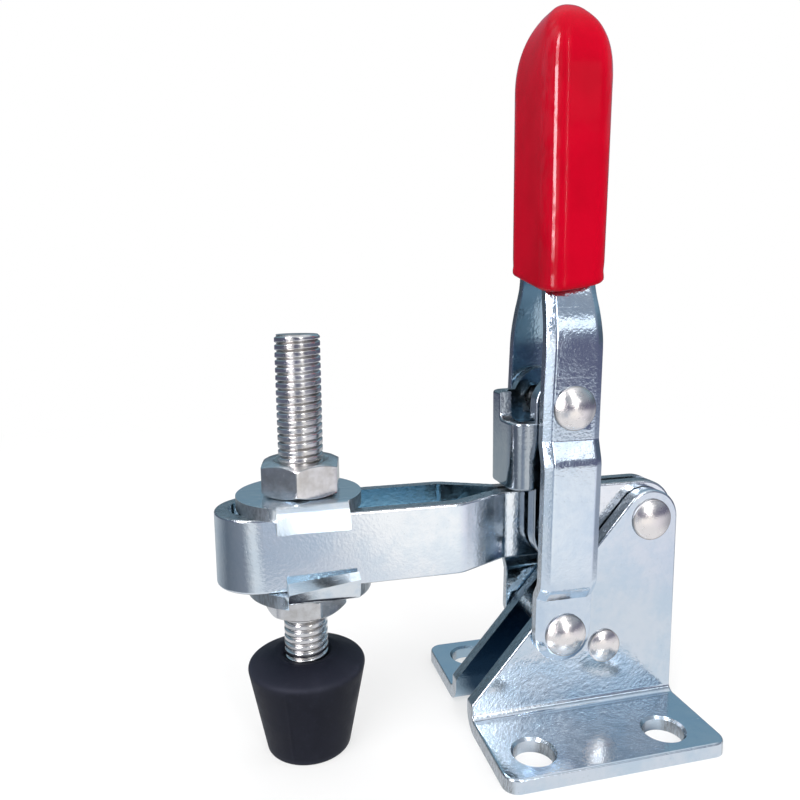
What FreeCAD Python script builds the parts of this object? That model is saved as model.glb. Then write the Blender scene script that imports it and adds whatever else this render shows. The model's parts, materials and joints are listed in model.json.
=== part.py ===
import FreeCAD, Part
import math
import os

# Vertical-handle toggle clamp with a flanged base, in millimetres.
# +X points to the rear, the clamping arm points to -X, +Z is up.
# z = 0 is the underside of the base, y = 0 is the plane of symmetry.
# x = 0 is the middle of the four mounting holes.

V = FreeCAD.Vector

# Base plates
BASE_FRONT_X = -15.5
BASE_REAR_X = 16.8
BASE_HALF_WIDTH = 18.0
BASE_INNER_Y = 2.57
BASE_SHEET = 2.0
BASE_BEND_RADIUS = 1.0
BASE_KNEE_Z = 3.9
BASE_TOP_RADIUS = 4.4
FLANGE_CORNER_RADIUS = 2.0
HOLE_SPACING_X = 19.6
HOLE_EDGE_Y = 4.8
HOLE_SPACING_Y = 2 * (BASE_HALF_WIDTH - HOLE_EDGE_Y)
HOLE_RADIUS = 2.75

# Heights of the clamping arm, which the pivots follow
ARM_TOP_Z = 34.8
ARM_HEIGHT = 9.9
ARM_BOTTOM_Z = ARM_TOP_Z - ARM_HEIGHT

# Pivots, as x and z
HANDLE_PIVOT = (-2.25, 14.4)
ARM_PIVOT_DEPTH = 5.3
ARM_PIVOT = (12.4, ARM_TOP_Z - ARM_PIVOT_DEPTH)
LINK_PIVOT_DEPTH = 5.8
LINK_BOTTOM = (-2.25, ARM_TOP_Z - LINK_PIVOT_DEPTH)
LINK_RISE = 18.1
LINK_TOP = (-1.75, LINK_BOTTOM[1] + LINK_RISE)
SPACER_RIVET = (5.2, 10.7)

# Rivets
SHANK_RADIUS = 2.0
RUNNING_GAP = 0.05
HEAD_RADIUS = 3.1
HEAD_HEIGHT = 1.3
HEAD_RIM = 0.25
LOW_HEAD_HEIGHT = 0.9
SMALL_HEAD_RADIUS = 2.1
SMALL_HEAD_HEIGHT = 0.7
SMALL_SHANK_RADIUS = 1.5
SPACER_RADIUS = 2.5
LINK_HEAD_RADIUS = 2.6
LINK_HEAD_HEIGHT = 0.7

# Clamping arm, one folded strip
ARM_SHEET = 1.8
ARM_OUTER_Y = 6.07
ARM_REAR_OUTER_Y = 2.3
ARM_NOSE_X = -43.85
ARM_FRONT_BEND_X = -17.8
ARM_REAR_BEND_X = -10.35
ARM_BEND_RADIUS = 2.0

# Toggle link, a channel with its web in front
LINK_SHEET = 1.8
LINK_OUTER_Y = 4.8
LINK_WEB_X = -9.7
LINK_WEB_GAP = 0.5
LINK_WEB_BOTTOM_Z = ARM_TOP_Z + LINK_WEB_GAP
LINK_SHOULDER_RISE = 1.6
LINK_SHOULDER_Z = LINK_TOP[1] + LINK_SHOULDER_RISE
LINK_TOP_RADIUS = 4.7
LINK_BOTTOM_RADIUS = 4.3
LINK_BEND_RADIUS = 0.6
# The notch cuts the near bend through and leaves a shoulder on the far side
LINK_NOTCH_DROP = 2.2
LINK_NOTCH_BOTTOM_Z = LINK_TOP[1] - LINK_NOTCH_DROP
LINK_NOTCH_SIDE_Y = 0.3
LINK_NOTCH_CORNER = 0.9
# Places that the handle's rivet passes in the link, from the link's upper hole
LINK_SLOT_STOPS = (
    (-1.2, 0.0),
    (-0.75, -3.9),
    (0.4, -5.85),
    (1.1, -5.85),
    (1.65, -4.8),
    (1.55, -3.6),
    (0.05, 0.0),
)
LINK_SLOT_GAP = 0.15

# Handle straps
STRAP_SHEET = 2.0
STRAP_WIDTH = 8.6
STRAP_END_RADIUS = 4.3
STRAP_NECK_WIDTH = 7.4
STRAP_BEND_RADIUS = 1.0
STRAP_FOOT_Y = 4.75
STRAP_BULGE_Y = 6.0
STRAP_WAIST_Y = 5.0
STRAP_NECK_Y = 2.8
STRAP_FOOT_TOP = 5.9
STRAP_FOOT_STEP = 2.0
STRAP_BULGE_TOP = 7.8
STRAP_BULGE_STEP = 3.0
STRAP_WAIST_TOP = 10.3
STRAP_NECK_STEP = 6.2
# Height and inner half gap at each bend, from the pivot up into the grip
STRAP_BENDS = (
    (HANDLE_PIVOT[1] + STRAP_FOOT_TOP, STRAP_FOOT_Y),
    (HANDLE_PIVOT[1] + STRAP_FOOT_TOP + STRAP_FOOT_STEP, STRAP_BULGE_Y),
    (LINK_TOP[1] - STRAP_BULGE_TOP, STRAP_BULGE_Y),
    (LINK_TOP[1] - STRAP_BULGE_TOP + STRAP_BULGE_STEP, STRAP_WAIST_Y),
    (LINK_TOP[1] + STRAP_WAIST_TOP, STRAP_WAIST_Y),
    (LINK_TOP[1] + STRAP_WAIST_TOP + STRAP_NECK_STEP, STRAP_NECK_Y),
)

# Grip
GRIP_RISE = 15.3
GRIP_BOTTOM_Z = LINK_TOP[1] + GRIP_RISE
GRIP_LENGTH = 38.5
GRIP_TOP_Z = GRIP_BOTTOM_Z + GRIP_LENGTH
GRIP_WALL = 8.9
STRAP_TOP_Z = GRIP_TOP_Z - GRIP_WALL
GRIP_CENTRE_X = -1.4
GRIP_FLARE_X = 0.25
GRIP_HALF_X = 4.65
GRIP_HALF_Y = 6.9
GRIP_CORNER_RADIUS = 1.9
GRIP_DOME = 10.5
# Share of the dome's height, and of the grip's width there
GRIP_DOME_STOPS = (
    (0.0, 1.0),
    (0.28, 0.975),
    (0.52, 0.89),
    (0.72, 0.74),
    (0.87, 0.53),
    (0.96, 0.31),
    (1.0, 0.1),
)
GRIP_SOCKET_GAP = 0.02
GRIP_SOCKET_SLACK = 0.7

# Spindle and what it carries
SPINDLE_X = -38.3
SPINDLE_RADIUS = 3.0
SPINDLE_BOTTOM_Z = 4.5
SPINDLE_RISE = 22.9
SPINDLE_TOP_Z = ARM_TOP_Z + SPINDLE_RISE
SPINDLE_CHAMFER = 0.25
NUT_FLATS = 10.0
NUT_CHAMFER_INSET = 0.2
UPPER_NUT_HEIGHT = 4.5
UPPER_NUT_TURN = 19.0
LOWER_NUT_HEIGHT = 3.2
LOWER_NUT_TURN = 44.5
WASHER_RADIUS = 8.4
WASHER_SHEET = 1.7
WASHER_HOLE_RADIUS = 3.95
UPPER_WASHER_SHIFT = -0.4
LOWER_WASHER_SHIFT = 0.75
WASHER_TAB_HALF_WIDTH = 4.6
WASHER_TAB_OFFSET = 1.1
WASHER_TAB_GAP = 0.1
WASHER_TAB_REACH = 2.3
WASHER_BEND_RADIUS = 0.4
TIP_HEIGHT = 13.7
TIP_CROWN = 1.5
TIP_SHOULDER_Z = TIP_HEIGHT - TIP_CROWN
TIP_TOP_RADIUS = 8.2
TIP_BOTTOM_RADIUS = 5.8
TIP_COLLAR = 1.2
TIP_EDGE = 0.5

# Rounding of punched edges
PUNCHED_EDGE = 0.35


def direction(start, end):
    """Unit vector from one (a, b) point to another."""
    length = math.hypot(end[0] - start[0], end[1] - start[1])
    return ((end[0] - start[0]) / length, (end[1] - start[1]) / length)


def belt_edges(circles, place):
    """Edges of the tight belt round circles (a, b, radius), listed anticlockwise."""
    touches = []
    for index, first in enumerate(circles):
        second = circles[(index + 1) % len(circles)]
        along = direction(first, second)
        length = math.hypot(second[0] - first[0], second[1] - first[1])
        lean = (first[2] - second[2]) / length
        side = math.sqrt(1 - lean * lean)
        normal = (
            lean * along[0] + side * along[1],
            lean * along[1] - side * along[0],
        )
        leave = (first[0] + first[2] * normal[0], first[1] + first[2] * normal[1])
        arrive = (second[0] + second[2] * normal[0], second[1] + second[2] * normal[1])
        touches.append((leave, arrive))
    edges = []
    for index, circle in enumerate(circles):
        arrive = touches[index - 1][1]
        leave = touches[index][0]
        if circle[2] > 0:
            start = math.atan2(arrive[1] - circle[1], arrive[0] - circle[0])
            end = math.atan2(leave[1] - circle[1], leave[0] - circle[0])
            if end <= start:
                end += 2 * math.pi
            middle = (start + end) / 2
            over = (
                circle[0] + circle[2] * math.cos(middle),
                circle[1] + circle[2] * math.sin(middle),
            )
            edges.append(Part.Arc(place(arrive), place(over), place(leave)).toShape())
        edges.append(Part.LineSegment(place(leave), place(touches[index][1])).toShape())
    return edges


def belt_slab(circles, place, start, thickness):
    """Solid of a belt outline, moved by one vector and extruded by another."""
    face = Part.Face(Part.Wire(belt_edges(circles, place)))
    face.translate(start)
    return face.extrude(thickness)


def side_slab(circles, low_y, high_y):
    """Solid of an outline in X and Z between two values of y."""
    place = lambda point: V(point[0], 0, point[1])
    return belt_slab(circles, place, V(0, low_y, 0), V(0, high_y - low_y, 0))


def plan_slab(circles, low_z, high_z):
    """Solid of an outline in X and Y between two values of z."""
    place = lambda point: V(point[0], point[1], 0)
    return belt_slab(circles, place, V(0, 0, low_z), V(0, 0, high_z - low_z))


def offset_path(points, distance):
    """Points of a path moved sideways to its left, with mitred corners."""
    moved = []
    last = len(points) - 1
    for index, point in enumerate(points):
        before = direction(points[max(index - 1, 0)], points[max(index, 1)])
        after = direction(points[min(index, last - 1)], points[min(index + 1, last)])
        normal = (-before[1] - after[1], before[0] + after[0])
        size = math.hypot(normal[0], normal[1])
        normal = (normal[0] / size, normal[1] / size)
        reach = distance / (-before[1] * normal[0] + before[0] * normal[1])
        moved.append((point[0] + reach * normal[0], point[1] + reach * normal[1]))
    return moved


def rounded_edges(points, radii, place):
    """Lines of a path whose inner corners are arcs of the given radii."""
    edges = []
    here = points[0]
    for index in range(1, len(points) - 1):
        corner = points[index]
        before = direction(points[index - 1], corner)
        after = direction(corner, points[index + 1])
        turn = before[0] * after[1] - before[1] * after[0]
        cosine = before[0] * after[0] + before[1] * after[1]
        angle = math.atan2(abs(turn), cosine)
        reach = radii[index] * math.tan(angle / 2)
        start = (corner[0] - reach * before[0], corner[1] - reach * before[1])
        end = (corner[0] + reach * after[0], corner[1] + reach * after[1])
        inward = (after[0] - before[0], after[1] - before[1])
        size = math.hypot(inward[0], inward[1])
        gap = radii[index] / math.cos(angle / 2) - radii[index]
        middle = (corner[0] + gap * inward[0] / size, corner[1] + gap * inward[1] / size)
        edges.append(Part.LineSegment(place(here), place(start)).toShape())
        edges.append(Part.Arc(place(start), place(middle), place(end)).toShape())
        here = end
    edges.append(Part.LineSegment(place(here), place(points[-1])).toShape())
    return edges


def bent_sheet(points, sheet, radius, place, extrusion):
    """Sheet along a path: its other face lies to the left, its bends are arcs."""
    other = offset_path(points, sheet)
    near_radii = [0.0] * len(points)
    far_radii = [0.0] * len(points)
    for index in range(1, len(points) - 1):
        before = direction(points[index - 1], points[index])
        after = direction(points[index], points[index + 1])
        left = before[0] * after[1] - before[1] * after[0] > 0
        near_radii[index] = radius + sheet if left else radius
        far_radii[index] = radius if left else radius + sheet
    edges = rounded_edges(points, near_radii, place)
    edges.append(Part.LineSegment(place(points[-1]), place(other[-1])).toShape())
    back = rounded_edges(other[::-1], far_radii[::-1], place)
    edges.extend(back)
    edges.append(Part.LineSegment(place(other[0]), place(points[0])).toShape())
    return Part.Face(Part.Wire(edges)).extrude(extrusion)


def cross_cylinder(centre, radius, low_y, high_y):
    """Cylinder along Y at an (x, z) centre."""
    base = V(centre[0], low_y, centre[1])
    return Part.makeCylinder(radius, high_y - low_y, base, V(0, 1, 0))


def mirrored(shape):
    """The same shape on the other side of the plane y = 0."""
    return shape.mirror(V(0, 0, 0), V(0, 1, 0))


def round_rim(sheet, outward):
    """Round the punched rim of a sheet on its outer side.

    The outward function gives the direction out of that side at a point.
    A rim edge has one face on that side and one face square to it.
    """
    picked = []
    for edge in sheet.Edges:
        middle = edge.valueAt((edge.FirstParameter + edge.LastParameter) / 2)
        side = outward(middle)
        leans = []
        for face in sheet.ancestorsOfType(edge, Part.Face):
            u, v = face.Surface.parameter(middle)
            leans.append(face.normalAt(u, v).dot(side) / side.Length)
        leans.sort()
        if len(leans) == 2 and abs(leans[0]) < 0.01 and leans[1] > 0.8:
            picked.append(edge)
    return sheet.makeFillet(PUNCHED_EDGE, picked)


def rivet(centre, seat_y, radius, height, shank, collar=None):
    """Rivet along Y with a domed head outside each seat.

    The collar is the radius and half length of a thicker middle.
    """
    x, z = centre
    ball = (radius * radius + height * height) / (2 * height)
    tilt = math.asin(radius / ball) / 2
    rim_y = seat_y + HEAD_RIM
    top_y = rim_y + height
    half = [(shank, 0), (shank, seat_y), (radius, seat_y), (radius, rim_y)]
    if collar:
        half = [(collar[0], 0), collar, (shank, collar[1])] + half[1:]
    points = [(r, -y) for r, y in half[:0:-1]] + half[1:]
    points = [V(x + r, y, z) for r, y in points]
    edges = []
    for start, end in zip(points, points[1:]):
        edges.append(Part.LineSegment(start, end).toShape())
    for side in (1, -1):
        rim = V(x + radius, side * rim_y, z)
        over = V(
            x + ball * math.sin(tilt),
            side * (top_y - ball + ball * math.cos(tilt)),
            z,
        )
        edges.append(Part.Arc(rim, over, V(x, side * top_y, z)).toShape())
    edges.append(Part.LineSegment(V(x, -top_y, z), V(x, top_y, z)).toShape())
    profile = Part.Face(Part.Wire(Part.__sortEdges__(edges)))
    return profile.revolve(V(x, 0, z), V(0, 1, 0), 360)


def base_plate():
    """Near base plate: upright, bend and flange with two holes."""
    outer_y = BASE_INNER_Y + BASE_SHEET
    length = BASE_REAR_X - BASE_FRONT_X
    top_z = ARM_PIVOT[1] + 2 * BASE_TOP_RADIUS
    path = [(-BASE_HALF_WIDTH, 0), (-BASE_INNER_Y, 0), (-BASE_INNER_Y, top_z)]
    place = lambda point: V(BASE_FRONT_X, point[0], point[1])
    sheet = bent_sheet(path, BASE_SHEET, BASE_BEND_RADIUS, place, V(length, 0, 0))
    upright = side_slab(
        [
            (BASE_FRONT_X + 0.5, BASE_KNEE_Z, 0.5),
            (BASE_FRONT_X, 0, 0),
            (BASE_REAR_X, 0, 0),
            (ARM_PIVOT[0], ARM_PIVOT[1], BASE_TOP_RADIUS),
        ],
        -BASE_HALF_WIDTH - 1,
        0,
    )
    corner = FLANGE_CORNER_RADIUS
    plan = plan_slab(
        [
            (BASE_FRONT_X + corner, -BASE_HALF_WIDTH + corner, corner),
            (BASE_REAR_X - corner, -BASE_HALF_WIDTH + corner, corner),
            (BASE_REAR_X, 0, 0),
            (BASE_FRONT_X, 0, 0),
        ],
        -1,
        top_z,
    )
    axis_y = -outer_y - BASE_BEND_RADIUS
    axis_z = BASE_SHEET + BASE_BEND_RADIUS

    def outward(point):
        if point.z > axis_z:
            return V(0, -1, 0)
        if point.y < axis_y:
            return V(0, 0, 1)
        return V(0, axis_y - point.y, axis_z - point.z)

    plate = round_rim(sheet.common(upright).common(plan).removeSplitter(), outward)
    for side in (-1, 1):
        place_hole = V(side * HOLE_SPACING_X / 2, -HOLE_SPACING_Y / 2, -1)
        plate = plate.cut(Part.makeCylinder(HOLE_RADIUS, 5, place_hole))
        rim = Part.makeCone(
            HOLE_RADIUS,
            HOLE_RADIUS + PUNCHED_EDGE,
            PUNCHED_EDGE,
            V(side * HOLE_SPACING_X / 2, -HOLE_SPACING_Y / 2, BASE_SHEET - PUNCHED_EDGE),
        )
        plate = plate.cut(rim)
    plate = plate.cut(cross_cylinder(HANDLE_PIVOT, SHANK_RADIUS, -10, 0))
    plate = plate.cut(cross_cylinder(ARM_PIVOT, SHANK_RADIUS, -10, 0))
    return plate.cut(cross_cylinder(SPACER_RIVET, SMALL_SHANK_RADIUS, -10, 0))


def spacer_rivet():
    """Small rivet whose thicker middle keeps the base plates apart."""
    return rivet(
        SPACER_RIVET,
        BASE_INNER_Y + BASE_SHEET,
        SMALL_HEAD_RADIUS,
        SMALL_HEAD_HEIGHT,
        SMALL_SHANK_RADIUS,
        (SPACER_RADIUS, BASE_INNER_Y),
    )


def clamp_arm():
    """Folded strip: round nose, open slot, rear plates side by side."""
    inner = ARM_OUTER_Y - ARM_SHEET
    rear_inner = ARM_REAR_OUTER_Y - ARM_SHEET
    height = ARM_HEIGHT
    rear_x = ARM_PIVOT[0] + height
    place = lambda point: V(point[0], point[1], ARM_BOTTOM_Z)
    path = [
        (rear_x, rear_inner),
        (ARM_REAR_BEND_X, rear_inner),
        (ARM_FRONT_BEND_X, inner),
        (ARM_NOSE_X, inner),
    ]
    path = [(x, -y) for x, y in path]
    leg = bent_sheet(path, ARM_SHEET, ARM_BEND_RADIUS, place, V(0, 0, height))
    centre = V(ARM_NOSE_X, 0, ARM_BOTTOM_Z)
    nose = Part.makeCylinder(ARM_OUTER_Y, height, centre)
    nose = nose.cut(Part.makeCylinder(inner, height, centre))
    rear_cut = Part.makeBox(
        2 * ARM_OUTER_Y, 4 * ARM_OUTER_Y, height, V(ARM_NOSE_X, -2 * ARM_OUTER_Y, ARM_BOTTOM_Z)
    )
    nose = nose.cut(rear_cut)
    strip = leg.fuse(nose).fuse(mirrored(leg)).removeSplitter()
    radius = height / 2
    middle_z = (ARM_TOP_Z + ARM_BOTTOM_Z) / 2
    outline = side_slab(
        [
            (ARM_NOSE_X - 20, ARM_BOTTOM_Z, 0),
            (ARM_PIVOT[0], middle_z, radius),
            (ARM_NOSE_X - 20, ARM_TOP_Z, 0),
        ],
        -10,
        10,
    )

    def outward(point):
        return V(min(point.x - ARM_NOSE_X, 0), point.y, 0)

    strip = round_rim(strip.common(outline).removeSplitter(), outward)
    strip = strip.cut(cross_cylinder(ARM_PIVOT, SHANK_RADIUS + RUNNING_GAP, -10, 10))
    strip = strip.cut(cross_cylinder(LINK_BOTTOM, SHANK_RADIUS, -10, 10))
    return strip.removeSplitter()


def toggle_link():
    """Channel link: web in front, legs round both of its pivots."""
    inner = LINK_OUTER_Y - LINK_SHEET
    rear_x = LINK_TOP[0] + 10
    place = lambda point: V(point[0], point[1], LINK_BOTTOM[1] - 10)
    path = [
        (rear_x, inner),
        (LINK_WEB_X + LINK_SHEET, inner),
        (LINK_WEB_X + LINK_SHEET, -inner),
        (rear_x, -inner),
    ]
    path = [(x, -y) for x, y in path]
    channel = bent_sheet(path, LINK_SHEET, LINK_BEND_RADIUS, place, V(0, 0, 40))
    legs = side_slab(
        [
            (LINK_BOTTOM[0], LINK_BOTTOM[1], LINK_BOTTOM_RADIUS),
            (LINK_TOP[0], LINK_TOP[1], LINK_TOP_RADIUS),
        ],
        -10,
        10,
    )
    front = side_slab(
        [
            (LINK_WEB_X, LINK_WEB_BOTTOM_Z, 0),
            (LINK_TOP[0], LINK_WEB_BOTTOM_Z, 0),
            (LINK_TOP[0], LINK_SHOULDER_Z, 0),
            (LINK_WEB_X, LINK_SHOULDER_Z, 0),
        ],
        -10,
        10,
    )
    corner = LINK_NOTCH_CORNER
    notch = belt_slab(
        [
            (-10, LINK_NOTCH_BOTTOM_Z, 0),
            (LINK_NOTCH_SIDE_Y - corner, LINK_NOTCH_BOTTOM_Z + corner, corner),
            (LINK_NOTCH_SIDE_Y, LINK_SHOULDER_Z + 1, 0),
            (-10, LINK_SHOULDER_Z + 1, 0),
        ],
        lambda point: V(LINK_WEB_X - 1, point[0], point[1]),
        V(0, 0, 0),
        V(LINK_TOP[0] - LINK_WEB_X, 0, 0),
    )
    axis_x = LINK_WEB_X + LINK_SHEET + LINK_BEND_RADIUS
    axis_y = inner - LINK_BEND_RADIUS

    def outward(point):
        past_y = max(abs(point.y) - axis_y, 0)
        return V(min(point.x - axis_x, 0), math.copysign(past_y, point.y), 0)

    link = channel.common(legs.fuse(front.cut(notch)).removeSplitter())
    link = round_rim(link.removeSplitter(), outward)
    link = link.cut(cross_cylinder(LINK_BOTTOM, SHANK_RADIUS + RUNNING_GAP, -10, 10))
    return link.cut(open_pivot_slot()).removeSplitter()


def open_pivot_slot():
    """Clearance in the link for the handle's rivet, which moves on its own arc."""
    x, z = LINK_TOP
    radius = SHANK_RADIUS + LINK_SLOT_GAP
    stops = [(x + across, z + along, radius) for across, along in LINK_SLOT_STOPS]
    return side_slab(stops, -10, 10)


def handle_strap():
    """Near handle strap: bulged over the rivets, narrowed in the grip."""
    gaps = [(-gap, height) for height, gap in STRAP_BENDS]
    path = [(gaps[0][0], 0)] + gaps + [(gaps[-1][0], STRAP_TOP_Z + 5)]
    place = lambda point: V(-20, point[0], point[1])
    sheet = bent_sheet(path, STRAP_SHEET, STRAP_BEND_RADIUS, place, V(40, 0, 0))
    half = STRAP_WIDTH / 2
    neck = STRAP_NECK_WIDTH / 2
    x, z = HANDLE_PIVOT
    top_x = LINK_TOP[0]
    lower = side_slab(
        [
            (x, z, STRAP_END_RADIUS),
            (top_x, LINK_TOP[1], half),
            (GRIP_CENTRE_X, GRIP_BOTTOM_Z - 2, half - 0.2),
        ],
        -15,
        0,
    )
    trim = side_slab(
        [
            (x - 15, z - 15, 0),
            (x + 15, z - 15, 0),
            (x + 15, GRIP_BOTTOM_Z - 0.4, 0),
            (x - 15, GRIP_BOTTOM_Z - 0.4, 0),
        ],
        -15,
        0,
    )
    tang = side_slab(
        [
            (GRIP_CENTRE_X, GRIP_BOTTOM_Z - 4, neck),
            (GRIP_CENTRE_X, STRAP_TOP_Z - neck, neck),
        ],
        -15,
        0,
    )
    strap = sheet.common(lower.common(trim).fuse(tang).removeSplitter())
    strap = round_rim(strap.removeSplitter(), lambda point: V(0, -1, 0))
    strap = strap.cut(cross_cylinder(HANDLE_PIVOT, SHANK_RADIUS + RUNNING_GAP, -15, 0))
    return strap.cut(cross_cylinder(LINK_TOP, SHANK_RADIUS, -15, 0))


def grip_section(height, share):
    """Rounded rectangle of the grip at a height, shrunk to a share of its width."""
    rise = min((height - GRIP_BOTTOM_Z) / (GRIP_LENGTH - GRIP_DOME), 1)
    half_x = share * (GRIP_HALF_X + GRIP_FLARE_X * rise)
    half_y = share * GRIP_HALF_Y
    x = GRIP_CENTRE_X + GRIP_FLARE_X * rise
    corner = min(GRIP_CORNER_RADIUS, 0.8 * half_x)
    circles = [
        (x - half_x + corner, -half_y + corner, corner),
        (x + half_x - corner, -half_y + corner, corner),
        (x + half_x - corner, half_y - corner, corner),
        (x - half_x + corner, half_y - corner, corner),
    ]
    return Part.Wire(belt_edges(circles, lambda point: V(point[0], point[1], height)))


def handle_grip():
    """Sleeve that widens upwards to a pointed dome, hollow for the straps."""
    shoulder_z = GRIP_TOP_Z - GRIP_DOME
    low = grip_section(GRIP_BOTTOM_Z, 1)
    high = grip_section(shoulder_z, 1)
    body = Part.makeLoft([low, high], True, True)
    stops = [(shoulder_z + GRIP_DOME * share, width) for share, width in GRIP_DOME_STOPS]
    dome = Part.makeLoft([grip_section(height, width) for height, width in stops], True, False)
    x = GRIP_CENTRE_X
    socket_x = STRAP_NECK_WIDTH / 2 + GRIP_SOCKET_GAP
    socket_y = STRAP_NECK_Y + STRAP_SHEET + GRIP_SOCKET_SLACK
    socket = Part.makeBox(
        2 * socket_x,
        2 * socket_y,
        STRAP_TOP_Z + 0.1 - GRIP_BOTTOM_Z,
        V(x - socket_x, -socket_y, GRIP_BOTTOM_Z),
    )
    return body.fuse(dome).cut(socket)


def hex_nut(low_z, height, turn):
    """Hexagon nut with chamfered corners on the spindle's axis."""
    corner = NUT_FLATS / math.sqrt(3)
    points = []
    for index in range(7):
        angle = math.radians(60 * index + turn)
        points.append(V(SPINDLE_X + corner * math.cos(angle), corner * math.sin(angle), low_z))
    prism = Part.Face(Part.makePolygon(points)).extrude(V(0, 0, height))
    flat = NUT_FLATS / 2 - NUT_CHAMFER_INSET
    rise = (corner - flat) * math.tan(math.radians(30))
    profile = Part.makePolygon(
        [
            V(SPINDLE_X, 0, low_z),
            V(SPINDLE_X + flat, 0, low_z),
            V(SPINDLE_X + corner, 0, low_z + rise),
            V(SPINDLE_X + corner, 0, low_z + height - rise),
            V(SPINDLE_X + flat, 0, low_z + height),
            V(SPINDLE_X, 0, low_z + height),
            V(SPINDLE_X, 0, low_z),
        ]
    )
    turned = Part.Face(profile).revolve(V(SPINDLE_X, 0, 0), V(0, 0, 1), 360)
    bore = Part.makeCylinder(SPINDLE_RADIUS + RUNNING_GAP, height, V(SPINDLE_X, 0, low_z))
    return prism.common(turned).cut(bore)


def flange_washer(shift):
    """Washer on the arm with a tab bent down each side, shifted along the arm."""
    tab_inner = ARM_OUTER_Y + WASHER_TAB_GAP
    path = [
        (-tab_inner, ARM_TOP_Z - WASHER_TAB_REACH),
        (-tab_inner, ARM_TOP_Z),
        (tab_inner, ARM_TOP_Z),
        (tab_inner, ARM_TOP_Z - WASHER_TAB_REACH),
    ]
    half = WASHER_TAB_HALF_WIDTH
    tab_x = SPINDLE_X + shift + WASHER_TAB_OFFSET - half
    place = lambda point: V(tab_x, point[0], point[1])
    tabs = bent_sheet(path, WASHER_SHEET, WASHER_BEND_RADIUS, place, V(2 * half, 0, 0))
    disc_x = SPINDLE_X + shift
    disc = Part.makeCylinder(WASHER_RADIUS, WASHER_SHEET, V(disc_x, 0, ARM_TOP_Z))
    reach = tab_inner - WASHER_BEND_RADIUS
    keep = Part.makeBox(40, 2 * reach, 5, V(disc_x - 20, -reach, ARM_TOP_Z - 1))
    ends = disc.cut(Part.makeBox(2 * half, 40, 5, V(tab_x, -20, ARM_TOP_Z - 1)))
    washer = disc.common(keep).fuse(ends).fuse(tabs).removeSplitter()
    hole = Part.makeCylinder(WASHER_HOLE_RADIUS, 5, V(disc_x, 0, ARM_TOP_Z - 1))
    return washer.cut(hole)


def lower_washer():
    """The same washer turned over under the arm, nearly as far back as its hole allows."""
    middle_z = (ARM_TOP_Z + ARM_BOTTOM_Z) / 2
    return flange_washer(LOWER_WASHER_SHIFT).mirror(V(0, 0, middle_z), V(0, 0, 1))


def spindle():
    """Plain rod of the thread's outer size with chamfered ends."""
    height = SPINDLE_TOP_Z - SPINDLE_BOTTOM_Z
    rod = Part.makeCylinder(SPINDLE_RADIUS, height, V(SPINDLE_X, 0, SPINDLE_BOTTOM_Z))
    ends = [edge for edge in rod.Edges if isinstance(edge.Curve, Part.Circle)]
    return rod.makeChamfer(SPINDLE_CHAMFER, ends)


def rubber_tip():
    """Tapered rubber tip, wider at its top, pushed on the spindle's end."""
    low = Part.makeCone(TIP_BOTTOM_RADIUS, TIP_TOP_RADIUS, TIP_SHOULDER_Z, V(SPINDLE_X, 0, 0))
    high = Part.makeCone(
        TIP_TOP_RADIUS,
        SPINDLE_RADIUS + TIP_COLLAR,
        TIP_HEIGHT - TIP_SHOULDER_Z,
        V(SPINDLE_X, 0, TIP_SHOULDER_Z),
    )
    tip = low.fuse(high)
    rims = [edge for edge in tip.Edges if edge.BoundBox.ZLength < 0.01]
    tip = tip.makeFillet(TIP_EDGE, rims)
    socket = Part.makeCylinder(SPINDLE_RADIUS, TIP_HEIGHT, V(SPINDLE_X, 0, SPINDLE_BOTTOM_Z))
    return tip.cut(socket)


def build():
    """All pieces by node name."""
    outer_y = BASE_INNER_Y + BASE_SHEET
    strap_foot = STRAP_FOOT_Y + STRAP_SHEET
    strap_seat = STRAP_WAIST_Y + STRAP_SHEET
    near_plate = base_plate()
    near_strap = handle_strap()
    upper_nut_z = ARM_TOP_Z + WASHER_SHEET
    lower_nut_z = ARM_BOTTOM_Z - WASHER_SHEET - LOWER_NUT_HEIGHT
    return {
        "base_plate_near": near_plate,
        "base_plate_far": mirrored(near_plate),
        "spacer_rivet": spacer_rivet(),
        "handle_pivot_rivet": rivet(
            HANDLE_PIVOT, strap_foot + RUNNING_GAP, HEAD_RADIUS, HEAD_HEIGHT, SHANK_RADIUS
        ),
        "arm_pivot_rivet": rivet(
            ARM_PIVOT, outer_y, HEAD_RADIUS, LOW_HEAD_HEIGHT, SHANK_RADIUS
        ),
        "clamp_arm": clamp_arm(),
        "link_lower_rivet": rivet(
            LINK_BOTTOM,
            LINK_OUTER_Y + RUNNING_GAP,
            LINK_HEAD_RADIUS,
            LINK_HEAD_HEIGHT,
            SHANK_RADIUS,
        ),
        "toggle_link": toggle_link(),
        "link_upper_rivet": rivet(
            LINK_TOP, strap_seat, HEAD_RADIUS, HEAD_HEIGHT, SHANK_RADIUS
        ),
        "handle_strap_near": near_strap,
        "handle_strap_far": mirrored(near_strap),
        "handle_grip": handle_grip(),
        "washer_upper": flange_washer(UPPER_WASHER_SHIFT),
        "washer_lower": lower_washer(),
        "nut_upper": hex_nut(upper_nut_z, UPPER_NUT_HEIGHT, UPPER_NUT_TURN),
        "nut_lower": hex_nut(lower_nut_z, LOWER_NUT_HEIGHT, LOWER_NUT_TURN),
        "spindle": spindle(),
        "rubber_tip": rubber_tip(),
    }


def main():
    """Build every piece and write it as a STEP file."""
    folder = os.path.join(os.getcwd(), "parts")
    os.makedirs(folder, exist_ok=True)
    for name, shape in build().items():
        solids = shape.Solids
        solid = solids[0] if len(solids) == 1 else shape
        print(name, "solids", len(solids), "valid", solid.isValid(), "volume", round(solid.Volume, 1))
        solid.exportStep(os.path.join(folder, name + ".step"))


main()
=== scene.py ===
"""Looks of the vertical handle toggle clamp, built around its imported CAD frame."""

import json
import logging
import math
from dataclasses import dataclass, field
from enum import Enum
from typing import Any, Callable, Iterable, Optional, Sequence

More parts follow.
